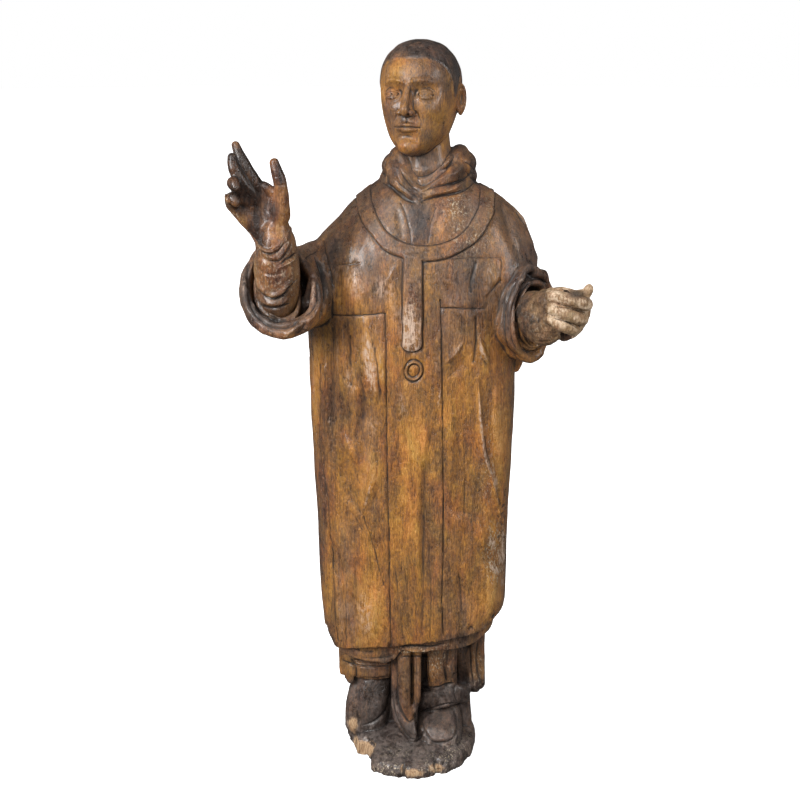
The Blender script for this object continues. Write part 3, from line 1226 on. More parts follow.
# Creases of the tight sleeve, drawn in the view: path, half-width, height.
FOREARM_CREASES = strokes("""
    258 244, 263 249, 270 251, 276 246, 283 240 | 2 34;
    260 249, 267 254, 277 252, 285 242 | 1.3 -34;
    264 253, 270 257, 278 258, 284 251, 289 241 | 2 34;
    269 261, 279 261, 287 252, 292 243 | 1.3 -28;
    280 265, 286 260, 291 257, 297 252 | 1.4 -40;
    277 269, 285 265, 293 260, 298 256 | 1.8 30;
    259 258, 264 263, 270 266 | 2.4 24;
    256 266, 262 272, 272 275, 284 273 | 1.6 -20;
    256 278, 260 286, 265 291, 270 295, 275 294.5, 281 292, 286 286, 291 279 | 2.4 50;
    258 290, 264 296, 270 299, 277 299, 284 295, 290 288, 296 280 | 1.5 -48;
    254 291, 259 298, 264 302, 272 304, 281 303, 289 298 | 2 36;
    260 305, 268 308, 278 308, 290 303 | 1.4 -36;
    289 262, 292 272, 293 282 | 2 18;
    254 248, 255 262, 254 274 | 1.5 16
""")
# Lines of the palm, in space: points, half-width, height. Then the finger joints: both ends and
# the half-width.
PALM_LINES = strokes("""
    -2686 -2220 11831, -2638 -2240 11944, -2523 -2250 12034, -2420 -2220 12101 | 14 -16;
    -2619 -2220 11786, -2549 -2240 11899, -2450 -2240 11989 | 16 10;
    -3093 -2060 12253, -2963 -2100 12173, -2877 -2120 11992, -2837 -2120 11811 | 16 -16;
    -3200 -2040 12080, -3040 -2080 12050, -2900 -2100 11960 | 14 -12
""", (TENTHS,), (TENTHS,))
JOINTS = strokes("""
    -2915 -2110 12440, -2990 -2120 12400 | 10;
    -3020 -2130 12760, -3110 -2130 12720 | 10;
    -3130 -2120 12960, -3230 -2120 12920 | 9;
    -3090 -2140 12440, -3190 -2160 12400 | 10;
    -3220 -2230 12700, -3330 -2230 12660 | 10;
    -2430 -2240 12460, -2560 -2260 12440 | 10;
    -2480 -2260 12620, -2600 -2260 12600 | 9
""", (TENTHS,), (TENTHS,))
# Finger nails on the back of the hand: middle, way along the finger, half-width.
RIGHT_NAILS = (
    ((-0.327, -0.1915, 1.311), (-0.55, 0.2, 0.8), 0.0052),
    ((-0.338, -0.2045, 1.293), (-0.4, 0.15, 0.9), 0.0054),
    ((-0.262, -0.2055, 1.28), (-0.2, 0.1, 0.97), 0.0064),
)


def wrist_edge(x):
    """Height of the tight sleeve's edge at x: lowest under the palm, and steeper to the outside."""
    off = x + 0.27
    return 1.1275 + np.where(off < 0, 17.0, 38.0) * off**2


def hand_relief(points, normals):
    """Height carved on the raised hand: sleeve creases all round, palm lines, joints and nails."""
    x, y, z = points.T
    front, behind = ramp(0.0, 0.35, -normals[:, 1]), ramp(0.0, 0.35, normals[:, 1])
    seen = viewed(points)
    turned = np.column_stack((553 - seen[:, 0], seen[:, 1] + 0.35 * (seen[:, 0] - 276.5)))
    creases = carved(seen, FOREARM_CREASES, 0.2) * front + 0.8 * carved(turned, FOREARM_CREASES, 0.2) * behind
    below = wrist_edge(x) - z
    raised = creases * ramp(-0.004, 0.002, below + 0.004)
    raised += carved(points, PALM_LINES, 0.25)
    for ends, half_width in JOINTS:
        raised -= 0.001 * mark(points, ends, half_width + 0.0004)
    for middle, along, half_width in RIGHT_NAILS:
        raised += nail(points, middle, along, half_width) * behind
    hollow = bump(np.hypot(x + 0.29, (z - 1.205) * 0.8), 0, 0.02) * front * (y > -0.225)
    raised += 0.0018 * ramp(-0.0006, 0.001, below) * ramp(0.02, 0.006, below) - 0.003 * hollow
    raised += 0.0008 * (gouge_cuts(points, (0.011, 0.011, 0.019), 61) - 0.25)
    return raised + 0.00035 * mottle(points, 0.012, 62) + 0.00014 * mottle(points, 0.004, 63)


def nail(points, middle, along, half_width):
    """A nail: a low shield inside an oval groove, long by 1.3 along the finger."""
    off = points - np.array(middle)
    run = off @ unit(np.array(along))
    beside = np.sqrt(np.maximum(0, (off**2).sum(1) - run**2))
    oval = np.hypot(run / (1.3 * half_width), beside / half_width)
    return 0.0005 * ramp(1.0, 0.8, oval) - 0.0007 * bump(oval, 1.12, 0.13)


# Left fist: fingers from the tips at the cuff, by the front, to the knuckles behind the grip.
LEFT_HAND = number_sets("""
    0 2420 -1930 10385 100, 1 2600 -2030 10370 118, 2 2860 -2050 10310 118, 3 3080 -1930 10220 118,
    4 3145 -1660 10170 118, 5 2980 -1460 10180 121;
    0 2410 -1950 10160 100, 1 2580 -2050 10120 122, 2 2820 -2055 10030 122, 3 3020 -1930 9940 119,
    4 3070 -1660 9890 116, 5 2920 -1460 9940 121;
    0 2400 -1930 9960 100, 1 2530 -2020 9910 120, 2 2720 -2020 9810 118, 3 2890 -1890 9730 110,
    4 2930 -1650 9700 108, 5 2820 -1480 9730 116;
    0 2480 -1580 10320 130, 1 2680 -1580 10370 115, 2 2960 -1580 10320 105, 3 3150 -1660 10390 108,
    3.4 3185 -1680 10460 95;
    0 2600 -1760 10350 95, 1 2690 -1760 10420 70;
    0 2400 -1560 10220 200, 1 2660 -1480 10220 150, 2 2940 -1460 10180 120;
    0 2400 -1560 9840 200, 1 2620 -1500 9780 170, 2 2840 -1480 9760 120;
    0 2440 -1680 10220 180, 1 2440 -1680 9820 180;
    0 3110 -1700 10120 128, 1 3095 -1700 9980 132, 2 3015 -1700 9810 132, 3 2920 -1680 9670 128,
    4 2760 -1640 9560 120;
    0 2440 -1580 9720 190, 1 2600 -1640 9620 150;
    0 2480 -1520 10010 140, 1 2900 -1480 9990 140
""", 1, TENTHS)
LEFT_CUFF = numbers("""
    0 2060 -840 9860 290, 1 2190 -1060 9850 340, 2 2310 -1280 9840 362, 3 2420 -1480 9840 362,
    4 2490 -1600 9900 280
""", 1, TENTHS)
# Creases of the left cuff, fanning back from the top of the wrist: points, half-width, height.
CUFF_CREASES = strokes("""
    2060 -1500 10120, 2220 -1680 10200, 2400 -1800 10300 | 22 22;
    2020 -1460 10000, 2200 -1720 10060, 2380 -1880 10160 | 18 -24;
    2000 -1420 10220, 2200 -1580 10300, 2400 -1680 10380 | 18 -22;
    2040 -1280 10300, 2220 -1460 10380, 2380 -1560 10420 | 22 20;
    2100 -1600 9850, 2260 -1820 9880, 2400 -1940 9960 | 22 16;
    2120 -1580 9650, 2280 -1800 9620, 2460 -1900 9680 | 24 -20;
    2160 -1500 9480, 2360 -1720 9440, 2580 -1780 9520 | 24 -20;
    2200 -1000 10340, 2440 -1180 10360, 2620 -1340 10300 | 24 -22;
    2360 -960 9900, 2620 -1160 9920, 2760 -1320 9940 | 24 -22;
    2280 -1000 9500, 2500 -1180 9440, 2680 -1360 9520 | 24 -22
""", (TENTHS,), (TENTHS,))
FINGER_LINES = strokes("""
    2640 -2150 10440, 2655 -2170 10320, 2650 -2150 10230 | 10 -9;
    2900 -2160 10360, 2915 -2180 10240, 2910 -2160 10150 | 12 -12;
    2600 -2170 10160, 2615 -2190 10050, 2600 -2170 9940 | 10 -9;
    2850 -2170 10070, 2865 -2190 9940, 2850 -2160 9850 | 12 -12;
    2560 -2140 9920, 2570 -2160 9800, 2560 -2130 9700 | 10 -9;
    2750 -2130 9800, 2760 -2140 9690, 2740 -2120 9600 | 12 -11
""", (TENTHS,), (TENTHS,))
# Dark gaps between the three worn fingers, drawn in the view: path, half-width, strength.
FINGER_GAPS = strokes("""
    548 304, 558 307, 570 309, 581 313, 589 319 | 0.8 1;
    547 316, 556 319, 566 322, 575 327, 582 332 | 0.8 1;
    586 297, 590 301, 593 303 | 2 0.8
""", rest=(1,))


def along_cuff(points):
    """How far a point lies up the cuff, away from the fist."""
    return (points[:, 0] - 0.231) * 0.6 - (points[:, 1] + 0.128) * 0.72


def fist_relief(points, normals):
    """Height carved on the fist: cuff creases, the cuff's edge, finger joints and worn wood."""
    along = along_cuff(points)
    raised = carved(points, CUFF_CREASES + FINGER_LINES, 0.25)
    raised += 0.0014 * ramp(0.034, 0.03, along) * ramp(0.0, 0.01, along + 0.01)
    raised += 0.0009 * (gouge_cuts(points, (0.01, 0.01, 0.012), 71) - 0.25)
    return raised + mottled(points, (0.0005, 0.01, 0.004, 0.004, 72)) + 0.0003 * mottle(points, 0.0035, 73)


# Finishes: masks from 0 to 1 that say where each tone of the wood shows.


def spread(seen, spots, power=2):
    """Soft patches drawn in the view, summed: each (across, down, half-width, half-height,
    strength). A power of 4 makes them squarer.
    """
    across, down = seen.T
    return sum(
        k * np.exp(-(((across - u) / wide) ** power) - (((down - v) / tall) ** power))
        for u, v, wide, tall, k in spots
    )


# Broad tones seen on the front: golden worn stain, darker stain, and grey bloom of wax and dust.
# Each patch: across, down, half-width, half-height, strength in hundredths.
SPOT_UNITS = (1, 1, 1, 1, 100)
GOLDEN = numbers("""
    316 385 5 50 34, 340 290 6 26 16, 452 288 20 20 12, 507 356 7 8 24, 357 290 16 22 26, 338 302 6 12 14,
    392 298 9 18 14, 430 290 8 20 18, 350 245 12 14 14, 388 220 10 14 12, 442 226 9 14 18, 430 247 14 5 20,
    500 242 12 14 10, 325 590 6 34 16, 404 440 12 60 14, 402 560 12 80 8, 369 362 9 40 12, 328 350 8 30 10,
    371 480 9 24 14, 370 615 16 40 16, 501 440 8 60 14, 492 592 12 28 24, 351 440 8 22 10, 425 460 6 40 12,
    436 668 9 14 16, 464 440 18 110 12, 410 500 12 90 10, 341 290 7 24 26, 478 660 7 24 10, 404 680 6 24 14,
    345 660 6 12 16, 370 655 20 6 18, 415 652 16 4 30, 290 340 20 6 10, 446 194 14 6 25
""", *SPOT_UNITS)
DARKER = numbers("""
    322 515 6 90 36, 420 222 9 18 34, 511 392 4 34 12, 465 612 14 22 8, 393 180 8 20 10, 361 408 7 30 8,
    342 390 6 50 8, 434 480 8 70 8, 456 352 16 24 4, 476 300 14 20 4, 471 284 7 14 16, 350 476 7 30 14,
    396 470 4 90 8, 357 525 8 18 10, 410 500 6 60 6, 330 420 5 40 10, 450 600 10 40 8, 463 655 5 34 30,
    424 660 4 30 25, 388 664 5 20 20, 475 690 30 20 10, 305 330 10 12 14, 245 285 5 28 22, 253 313 6 10 18,
    352 652 22 12 10
""", *SPOT_UNITS)
BLOOM = numbers("""
    494 590 10 30 25, 365 620 16 28 30, 465 615 18 22 35, 309 305 6 14 40, 308 252 8 8 60, 440 697 18 8 35,
    452 288 20 20 25, 334 252 8 24 55, 372 275 14 16 40, 409 276 9 16 45, 474 206 12 16 50, 490 292 8 18 55,
    455 292 12 16 40, 356 292 14 20 35, 384 203 14 12 40, 378 345 18 26 30, 452 330 18 18 35, 370 482 8 24 45,
    345 560 8 44 35, 370 420 10 30 20, 440 560 16 60 12, 500 420 8 60 25, 410 400 14 20 15, 520 240 12 24 35,
    262 332 14 10 35, 246 285 5 30 35, 345 612 12 34 35, 484 470 6 30 25, 398 715 5 18 50, 402 230 5 10 20
""", *SPOT_UNITS)
# Worn pale ridges, drawn in the view: path, half-width, strength.
WORN = strokes("""
    478 385, 481 425, 486 458, 494 480, 500 510 | 1.5 0.9;
    488 440, 494 470, 500 496 | 1.2 0.8;
    373 470, 367 500, 359 518 | 1.2 0.7;
    329 417, 331 424 | 2 1;
    337 326, 338 380 | 1.3 0.5;
    366 330, 369 372, 373 408 | 3 0.5;
    400 386, 405 424 | 6 0.45;
    441 386, 438 410 | 2 0.7;
    478 338, 482 352, 489 364 | 1.5 1;
    462 344, 452 358 | 1.6 0.8;
    354 262, 358 305 | 11 0.58;
    379 270, 386 306 | 9 0.55;
    392 268, 394 340 | 4 0.35;
    503 520, 503 575 | 1.6 0.9;
    312 340, 315 420 | 1 0.5;
    338 590, 343 644 | 2 0.4;
    362 586, 370 644 | 10 0.5;
    489 536, 495 546 | 2.6 1.8;
    502 550, 500 564 | 3 2.4;
    489 563, 500 574 | 2.6 1.8;
    502 578, 503 586 | 1.8 2;
    357 738, 366 746, 372 752 | 7 1;
    314 291, 311 302, 304 312, 297 319 | 1.4 0.7;
    372 412, 372 440 | 8 0.45;
    362 325, 370 360, 378 400 | 9 0.55;
    348 372, 354 400 | 6 0.45;
    436 350, 438 380 | 4 0.4;
    346 336, 348 400 | 3 0.35;
    455 318, 460 360 | 8 0.25
""", rest=(1,))
# Shaded insides of the sleeves' mouths, drawn in the view: path and half-width.
SHADED = strokes("""
    249 260, 247 280, 249 298, 256 313, 266 322, 280 326, 296 322 | 6;
    315 256, 320 270, 322 286, 320 302, 313 314 | 4;
    318 258, 321 280, 321 300 | 4.5;
    542 273, 527 276, 516 284, 509 297, 507 313, 508 331, 514 346, 525 354 | 8
""", rest=(1,))
# Crumbs of gesso that are left, and wood freshly broken, the same way.
CRUMBS = numbers("""
    457 206 13 14 95, 470 238 20 14 75, 490 205 5 14 35, 496 554 8 22 240, 488 460 7 50 45, 410 302 9 12 45,
    387 251 8 5 45, 483 350 7 14 45, 415 651 17 4 90, 436 664 9 12 55, 478 668 8 18 45, 392 770 14 5 85,
    450 756 8 12 75, 396 752 16 6 45, 432 760 10 8 55, 356 210 8 10 25, 500 265 20 10 25, 446 655 5 10 45,
    384 768 12 5 90, 425 772 18 5 80, 462 745 8 14 50
""", *SPOT_UNITS)
BROKEN = numbers("""
    366 748 10 8 130, 353 721 5 10 120, 413 773 10 4.5 100, 436 768 8 4.5 100, 402 764 3 6 80, 356 742 3 6 80,
    497 560 5 6 35, 340 646 3 4 35
""", *SPOT_UNITS)


def in_mouth(points, ring, lean):
    """1 inside a sleeve's mouth: within the lip's oval and behind its plane, more with depth."""
    row = np.array(ring)
    faces = unit(row[4:7])
    side, rise = mouth_axes(faces, lean)
    off = points - row[1:4]
    oval = np.hypot((off @ side) / row[7], (off @ rise) / row[8])
    return ramp(1.1, 0.92, oval) * ramp(0.004, -0.022, off @ faces) * (off @ faces > -0.09)


def head_masks(thing):
    """Masks of the head: golden stain, grey bloom on the hair and neck, grime in the hollows."""
    points, _ = read_points(thing.data)
    rise, wide = stand_out(thing.data, 10), stand_out(thing.data, 40)
    cloud, small = mottle(points, (0.05, 0.05, 0.09), 81), mottle(points, (0.014, 0.014, 0.03), 83)
    own = np.array(HEAD_PLACE.inverted())
    local = points @ own[:3, :3].T + own[:3, 3]
    hair = hair_cover(local)
    neck = ramp(-0.095, -0.115, local[:, 2]) * ramp(-0.09, -0.05, local[:, 1])
    gold = 0.66 + 0.28 * cloud + 0.2 * small - 0.42 * hair - 0.16 * neck
    bloom = 0.22 * hair * (0.6 + 0.4 * mottle(points, 0.03, 84)) + 0.08 + 0.3 * neck
    grime = 0.95 * ramp(0.0, -0.0006, rise) + 0.9 * ramp(-0.0004, -0.0032, wide) * (1 - hair)
    rub = ramp(0.0004, 0.0012, rise) * (0.45 - 0.4 * bump(hair, 0.5, 0.5))
    return gold, bloom, grime, rub, 0 * hair, 0 * hair


def robe_masks(thing):
    """Masks of the robe, the shoes and the base, from place, slope and how far the skin stands out."""
    points, normals = read_points(thing.data)
    x, y, z = points.T
    rise = stand_out(thing.data, 10)
    cloud, small = mottle(points, (0.05, 0.05, 0.09), 81), mottle(points, (0.014, 0.014, 0.03), 83)
    seen, towards = viewed(points), facing(normals)
    front, aside = ramp(-0.2, 0.4, -normals[:, 1]), np.abs(x)
    # Where things lie: how far down, below the hem, on the feet, the collar and the sleeves.
    level = seen[:, 1] * towards + (1 - towards) * (400 - (z - 0.92) * 430)
    below = ramp(0.005, -0.01, above_hem(points))
    tubes = [mark(seen, ((404, 650), (405, 690), (408, 716)), 7.0), mark(seen, ((417, 650), (417, 700)), 3.6)]
    foot = ramp(0.166, 0.154, z) * ramp(0.06, 0.03, y - 0.03 * (x < 0)) + ramp(0.09, 0.07, z)
    foot = np.clip(foot, 0, 1) * (np.maximum(*tubes) <= 0.4)
    cloth = below * (1 - foot)
    collar = ramp(1.195, 1.21, z) * (np.hypot(x - 0.018, y) < 0.125)
    sleeves = ramp(0.19, 0.215, aside) * (z > SLEEVE_FOOT)
    right = in_mouth(points, RIGHT_SLEEVE[LIP_RING], RIGHT_LEAN) * ramp(-0.3, -0.27, x)
    mouths = np.maximum(right, in_mouth(points, LEFT_SLEEVE[LIP_RING], LEFT_LEAN))
    shaded = sum(mark(seen, drawn(path), wide, 0.3) for path, wide in SHADED)
    shaded = shaded * towards * (aside > 0.15) * (z > SLEEVE_FOOT)

    folds = np.clip(carved(seen, DRAPERY, 0.35) / 0.004, -1.4, 1.4)
    folds = folds * towards * ramp(0.23, 0.2, aside) * (z > 0.3)
    gold = 0.36 + 0.26 * ramp(285, 345, level + 10 * cloud)
    gold = gold + towards * (spread(seen, GOLDEN) - spread(seen, DARKER))
    gold = gold + 0.11 * folds + 0.1 * cloud + 0.06 * small + collar * (0.02 + 0.22 * small)
    gold = gold - 0.1 * ramp(0.55, 0.2, np.abs(normals[:, 1])) * ramp(300, 340, level)
    gold = gold - 0.1 * ramp(0.0, 0.6, normals[:, 1]) - 0.19 * cloth - 0.54 * foot
    gold = gold - 0.06 * sleeves - 0.2 * shaded

    bloom = towards * spread(seen, BLOOM) * (0.7 + 0.5 * small)
    bloom = bloom + 0.22 * ramp(1.06, 1.16, z) * (0.5 + 0.5 * cloud)
    bloom = bloom + 0.35 * ramp(0.5, 0.95, normals[:, 2]) * (0.5 + 0.5 * small) * (z > 0.2)
    bloom = bloom + foot * (0.36 + 0.38 * ramp(0.072, 0.06, z) + 0.15 * small)
    bloom = bloom + 0.26 * cloth * (0.7 + 0.6 * small)
    bloom = np.clip(bloom, 0, 0.9) * (1 - 0.5 * collar)
    bloom = bloom + 0.2 * sleeves * (0.5 + 0.5 * small) + 0.3 * shaded

    grime = (0.95 + 0.3 * collar) * ramp(0.0, -0.0009, rise) + 0.75 * mouths + 0.18 * cloth + 0.45 * shaded
    grime = grime + 0.4 * ramp(0.25, 0.9, -normals[:, 2]) * (z > 0.05)
    grime = grime + 0.45 * bump(medallion_ring(x, z), 0.9, 0.28) * towards
    grime = grime + 0.7 * ramp(-0.025, 0.015, y) * cloth * front * (z > 0.07)

    pendant_end = mark(seen, ((409, 312), (410, 346)), 9.5) * towards * (y < -0.1)
    pendant_end = pendant_end * ramp(-0.5, 0.3, mottle(points, 0.01, 85) + 0.5 * ramp(300, 330, seen[:, 1]))
    rub = 0.65 * ramp(0.0006, 0.0018, rise) * (0.5 + 0.5 * small) * (1 - 0.7 * foot) + 1.1 * pendant_end
    rub = rub * (1 - mouths) + carved(seen, WORN, 0.3) * towards

    edge = 0.25 + 0.75 * ramp(0.75, 0.45, normals[:, 2]) * ramp(0.08, 0.06, z)
    return gold, bloom, grime, rub, towards * spread(seen, CRUMBS), towards * spread(seen, BROKEN) * edge


def forearm_masks(thing):
    """Masks of the raised hand: dark glossy hand, tan sleeve with pale crease edges."""
    points, normals = read_points(thing.data)
    x, z = points[:, 0], points[:, 2]
    rise = stand_out(thing.data, 12)
    small, cloud = mottle(points, (0.012, 0.012, 0.02), 91), mottle(points, 0.03, 92)
    hand = ramp(-0.001, 0.002, z - wrist_edge(x))
    fingers = hand * ramp(1.215, 1.25, z) * ramp(-0.268, -0.28, x)
    thumb, palm, heel = (
        bump(np.hypot(x - across, z - up), 0, size)
        for across, up, size in ((-0.262, 1.24, 0.03), (-0.262, 1.205, 0.022), (-0.322, 1.215, 0.02))
    )
    gold = 0.45 + 0.16 * small - 0.16 * hand + 0.4 * cloud * hand - 0.2 * fingers + 0.16 * hand * thumb
    bloom = 0.07 * (1 - hand) * (0.6 + 0.4 * cloud) + 0.22 * hand * palm
    grime = 0.9 * ramp(0.0, -0.0008, rise) + 0.65 * ramp(1.09, 1.0, z) + 0.3 * fingers
    grime = grime + 0.45 * heel * ramp(0.0, 0.4, -normals[:, 1])
    tips = ramp(1.285, 1.3, z) * bump(x, -0.335, 0.03)
    edges = 0.9 * ramp(0.0004, 0.0012, rise) * (0.5 + 0.5 * small)
    rub = edges * (1 - 0.5 * hand) * (1 - 0.6 * fingers) + 0.25 * tips
    return gold, bloom, grime, rub, 0.36 * (1 - hand) * ramp(1.0, 1.05, z), 0 * x


def fist_masks(thing):
    """Masks of the fist: bare pale wood on the fingers, speckled golden-brown cuff."""
    points, _ = read_points(thing.data)
    rise = stand_out(thing.data, 12)
    small, cloud = mottle(points, (0.008, 0.008, 0.008), 95), mottle(points, 0.025, 96)
    seen = viewed(points)
    hand = ramp(-1.2, 1.2, seen[:, 0] - 547 - 0.8 * np.maximum(0, seen[:, 1] - 320) + 1.5 * small)
    stub, recess = spread(seen, [(590, 289, 7, 7, 1)], 4), spread(seen, [(577, 294, 9, 4.5, 1)], 4)
    gold = 0.31 + 0.2 * small * (1 - hand) + 0.36 * hand + 0.12 * cloud - 0.25 * recess
    bloom = 0.02 * (1 - hand) + 0.15 * hand + 0.4 * recess
    grime = 0.95 * ramp(0.0, -0.0011, rise) + 0.5 * ramp(0.0, -0.02, along_cuff(points))
    grime = grime + 0.8 * hand * recess + 0.9 * carved(seen, FINGER_GAPS, 0.2)
    bare = hand * (0.62 + 0.8 * cloud + 0.6 * small - 0.4 * stub)
    rub = np.clip(bare + 0.5 * ramp(0.0003, 0.0012, rise) * (0.5 + 0.5 * small), 0, 1) * (1 - recess)
    return gold, bloom, grime, rub, 0.3 * (1 - hand) * (0.5 + 0.5 * cloud) + 0.15 * hand, 0 * cloud


# Materials.


def set_inputs(tree, node, inputs):
    """Links each input of a shader node to a socket, or sets it to a constant."""
    for key, value in inputs.items():
        socket = node.inputs[key]
        if isinstance(value, bpy.types.NodeSocket):
            tree.links.new(value, socket)
        else:
            socket.default_value = (*value, 1) if socket.type == "RGBA" else value


def add_node(tree, kind, inputs=(), **settings):
    """One more shader node with its settings and inputs; its outputs come back."""
    node = tree.nodes.new("ShaderNode" + kind)
    for key, value in settings.items():
        setattr(node, key, value)
    set_inputs(tree, node, dict(inputs))
    return node.outputs


def finish(name, tones, bloom_tone, rub_tone, roughness, varnish):
    """Old stained wood.

    Tone is "gold" plus noise in clouds, blotches, smears, short streaks, fine grain and year rings,
    and picks a colour from tones. Over it come redder and yellower clouds, grey "bloom", pale worn
    "rub", pale "fresh" broken wood, dark and pale grain lines, "gesso" crumbs, dark "grime", pores.
    """
    made = bpy.data.materials.new(name)
    made.use_nodes = True
    tree = made.node_tree
    place = add_node(tree, "TexCoord")["Object"]

    def stretched(scale, slide=(0, 0, 0)):
        return add_node(tree, "Mapping", {"Vector": place, "Scale": scale, "Location": slide})["Vector"]

    def noise(stretch, scale, detail=4.0, rough=0.55, distortion=0.0):
        inputs = {"Vector": stretched(*stretch), "Scale": scale, "Detail": detail}
        return add_node(tree, "TexNoise", {**inputs, "Roughness": rough, "Distortion": distortion})["Fac"]

    def mask(attribute):
        return add_node(tree, "Attribute", attribute_name=attribute)["Fac"]

    def maths(kind, *values):
        return add_node(tree, "Math", enumerate(values), operation=kind)["Value"]

    def total(*terms):
        """Sum of (socket, middle, weight) terms: weight * (value - middle)."""
        whole = None
        for value, middle, weight in terms:
            part = maths("MULTIPLY_ADD", value, weight, -middle * weight)
            whole = part if whole is None else maths("ADD", whole, part)
        return whole

    def between(value, low, high, to_low=0.0, to_high=1.0):
        inputs = {"Value": value, "From Min": low, "From Max": high, "To Min": to_low, "To Max": to_high}
        return add_node(tree, "MapRange", inputs, interpolation_type="SMOOTHSTEP")["Result"]

    def blend(factor, first, second, kind="MIX"):
        return add_node(tree, "Mix", {0: factor, 6: first, 7: second}, data_type="RGBA", blend_type=kind)[2]

    def tinted(first, tint, *span):
        """The colour times a tint, as far as the span of a noise says."""
        return blend(between(*span), first, blend(1.0, first, tint, "MULTIPLY"))

    clouds = noise([(1, 1, 0.45)], 13.0, 3.0, 0.55, 0.4)
    blotch = noise([(1, 1, 0.6), (3, 1, 2)], 42.0, 5.0, 0.62, 0.5)
    patches = noise([(1, 1, 0.8), (1, 7, 2)], 120.0, 4.0, 0.65)
    smears = noise([(70, 70, 12), (2, 2, 0)], 1.0, 3.0, 0.55, 0.8)
    streaks = noise([(330, 330, 36)], 1.0, 4.0, 0.65, 0.6)
    threads = noise([(950, 950, 70)], 1.0, 2.0, 0.6)
    lines = noise([(400, 400, 24), (1, 0, 4)], 1.0, 3.0, 0.6, 1.4)
    grain = noise([(1, 1, 0.3), (5, 3, 0)], 420.0, 3.0, 0.7)
    pores = noise([(1, 1, 0.35), (0, 3, 0)], 1100.0, 2.0, 0.5)
    hue = noise([(1, 1, 0.5), (7, 2, 5)], 24.0, 4.0, 0.6, 0.6)
    crumbs = noise([(1, 1, 0.6), (1, 5, 0)], 260.0, 4.0, 0.65)
    wave = {"Vector": stretched((1, 1, 0.1), (0.02, 0.05, 0)), "Scale": 26.0, "Distortion": 7.0, "Detail": 3.0}
    wave["Detail Scale"] = 1.2
    year = add_node(tree, "TexWave", wave, wave_type="RINGS", rings_direction="Z")["Fac"]

    tone = total(
        (clouds, 0.5, 0.8), (blotch, 0.5, 0.65), (patches, 0.5, 0.55), (smears, 0.5, 0.4),
        (streaks, 0.5, 0.65), (grain, 0.5, 0.95), (year, 0.5, 0.06),
    )
    ramped = tree.nodes.new("ShaderNodeValToRGB")
    set_inputs(tree, ramped, {"Fac": maths("ADD", mask("gold"), tone)})
    steps, last = ramped.color_ramp.elements, len(tones) - 1
    for i in range(1, last):
        steps.new(i / last)
    for step, shade in zip(steps, tones):
        step.color = (*shade, 1)
    colour = tinted(ramped.outputs["Color"], (1.14, 0.93, 1.05), hue, 0.5, 0.66, 0.0, 0.6)
    colour = tinted(colour, (0.92, 1.04, 1.0), hue, 0.5, 0.36, 0.0, 0.7)
    bloom = between(total((blotch, 0.5, 1.0), (patches, 0.5, 0.8)), -0.16, 0.14, 0.15, 1.0)
    bloom = maths("MULTIPLY", mask("bloom"), bloom)
    colour = blend(maths("MULTIPLY", bloom, 0.8), colour, bloom_tone)
    rub = between(total((streaks, 0.5, 1.0), (patches, 0.5, 1.2)), -0.16, 0.12, 0.25, 1.0)
    colour = blend(between(maths("MULTIPLY", mask("rub"), rub), 0.1, 0.95), colour, rub_tone)
    fresh_tone = blend(between(streaks, 0.35, 0.65), (0.24, 0.13, 0.06), (0.5, 0.34, 0.2))
    fresh = maths("ADD", mask("fresh"), total((patches, 0.5, 0.8)))
    colour = blend(between(fresh, 0.25, 0.65), colour, fresh_tone)
    colour = tinted(colour, (0.42, 0.36, 0.3), threads, 0.54, 0.7, 0.0, 0.35)
    colour = tinted(colour, (0.34, 0.27, 0.22), lines, 0.54, 0.63, 0.0, 0.6)
    colour = tinted(colour, (1.45, 1.4, 1.5), lines, 0.44, 0.36, 0.0, 0.35)
    flakes = maths("MULTIPLY", mask("gesso"), between(crumbs, 0.54, 0.62))
    colour = blend(maths("MINIMUM", flakes, 0.85), colour, (0.5, 0.41, 0.29))
    dirt = total((patches, 0.55, 0.55), (grain, 0.55, 0.8), (blotch, 0.55, 0.35))
    dirt = between(maths("ADD", mask("grime"), dirt), 0.2, 1.0)
    colour = blend(maths("MULTIPLY", dirt, 0.93), colour, (0.014, 0.01, 0.008))
    colour = blend(between(pores, 0.6, 0.72, 0.0, 0.6), colour, (0.03, 0.017, 0.01))

    rough = total(
        (bloom, 0.0, 0.28), (dirt, 0.0, 0.25), (flakes, 0.0, 0.3), (patches, 0.5, 0.55),
        (blotch, 0.5, 0.35), (mask("fresh"), 0.0, 0.3),
    )
    rough = maths("MINIMUM", maths("MAXIMUM", maths("ADD", rough, roughness), 0.2), 0.95)
    height = total(
        (streaks, 0.5, 1.0), (lines, 0.5, -1.6), (grain, 0.5, 1.2), (threads, 0.5, 0.4),
        (patches, 0.5, 1.8), (blotch, 0.5, 1.5), (flakes, 0.0, 0.6),
    )
    height = maths("SUBTRACT", height, maths("MULTIPLY", between(pores, 0.58, 0.72), 0.4))
    bumpy = add_node(tree, "Bump", {"Strength": 0.75, "Distance": 0.0018, "Height": height})["Normal"]
    shader = tree.nodes["Principled BSDF"]
    set_inputs(tree, shader, {"Base Color": colour, "Roughness": rough, "Normal": bumpy})
    set_inputs(tree, shader, {"Coat Weight": varnish, "Coat Roughness": 0.24, "Specular IOR Level": 0.4})
    return made


def dress(thing, material, node):
    """Gives a finished piece its material, its CAD node and its slot, and sets it on the frame."""
    thing.data.materials.clear()
    thing.data.materials.append(material)
    thing.data.shade_smooth()
    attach(thing, "root")
    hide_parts(node)


# Making the three pieces.


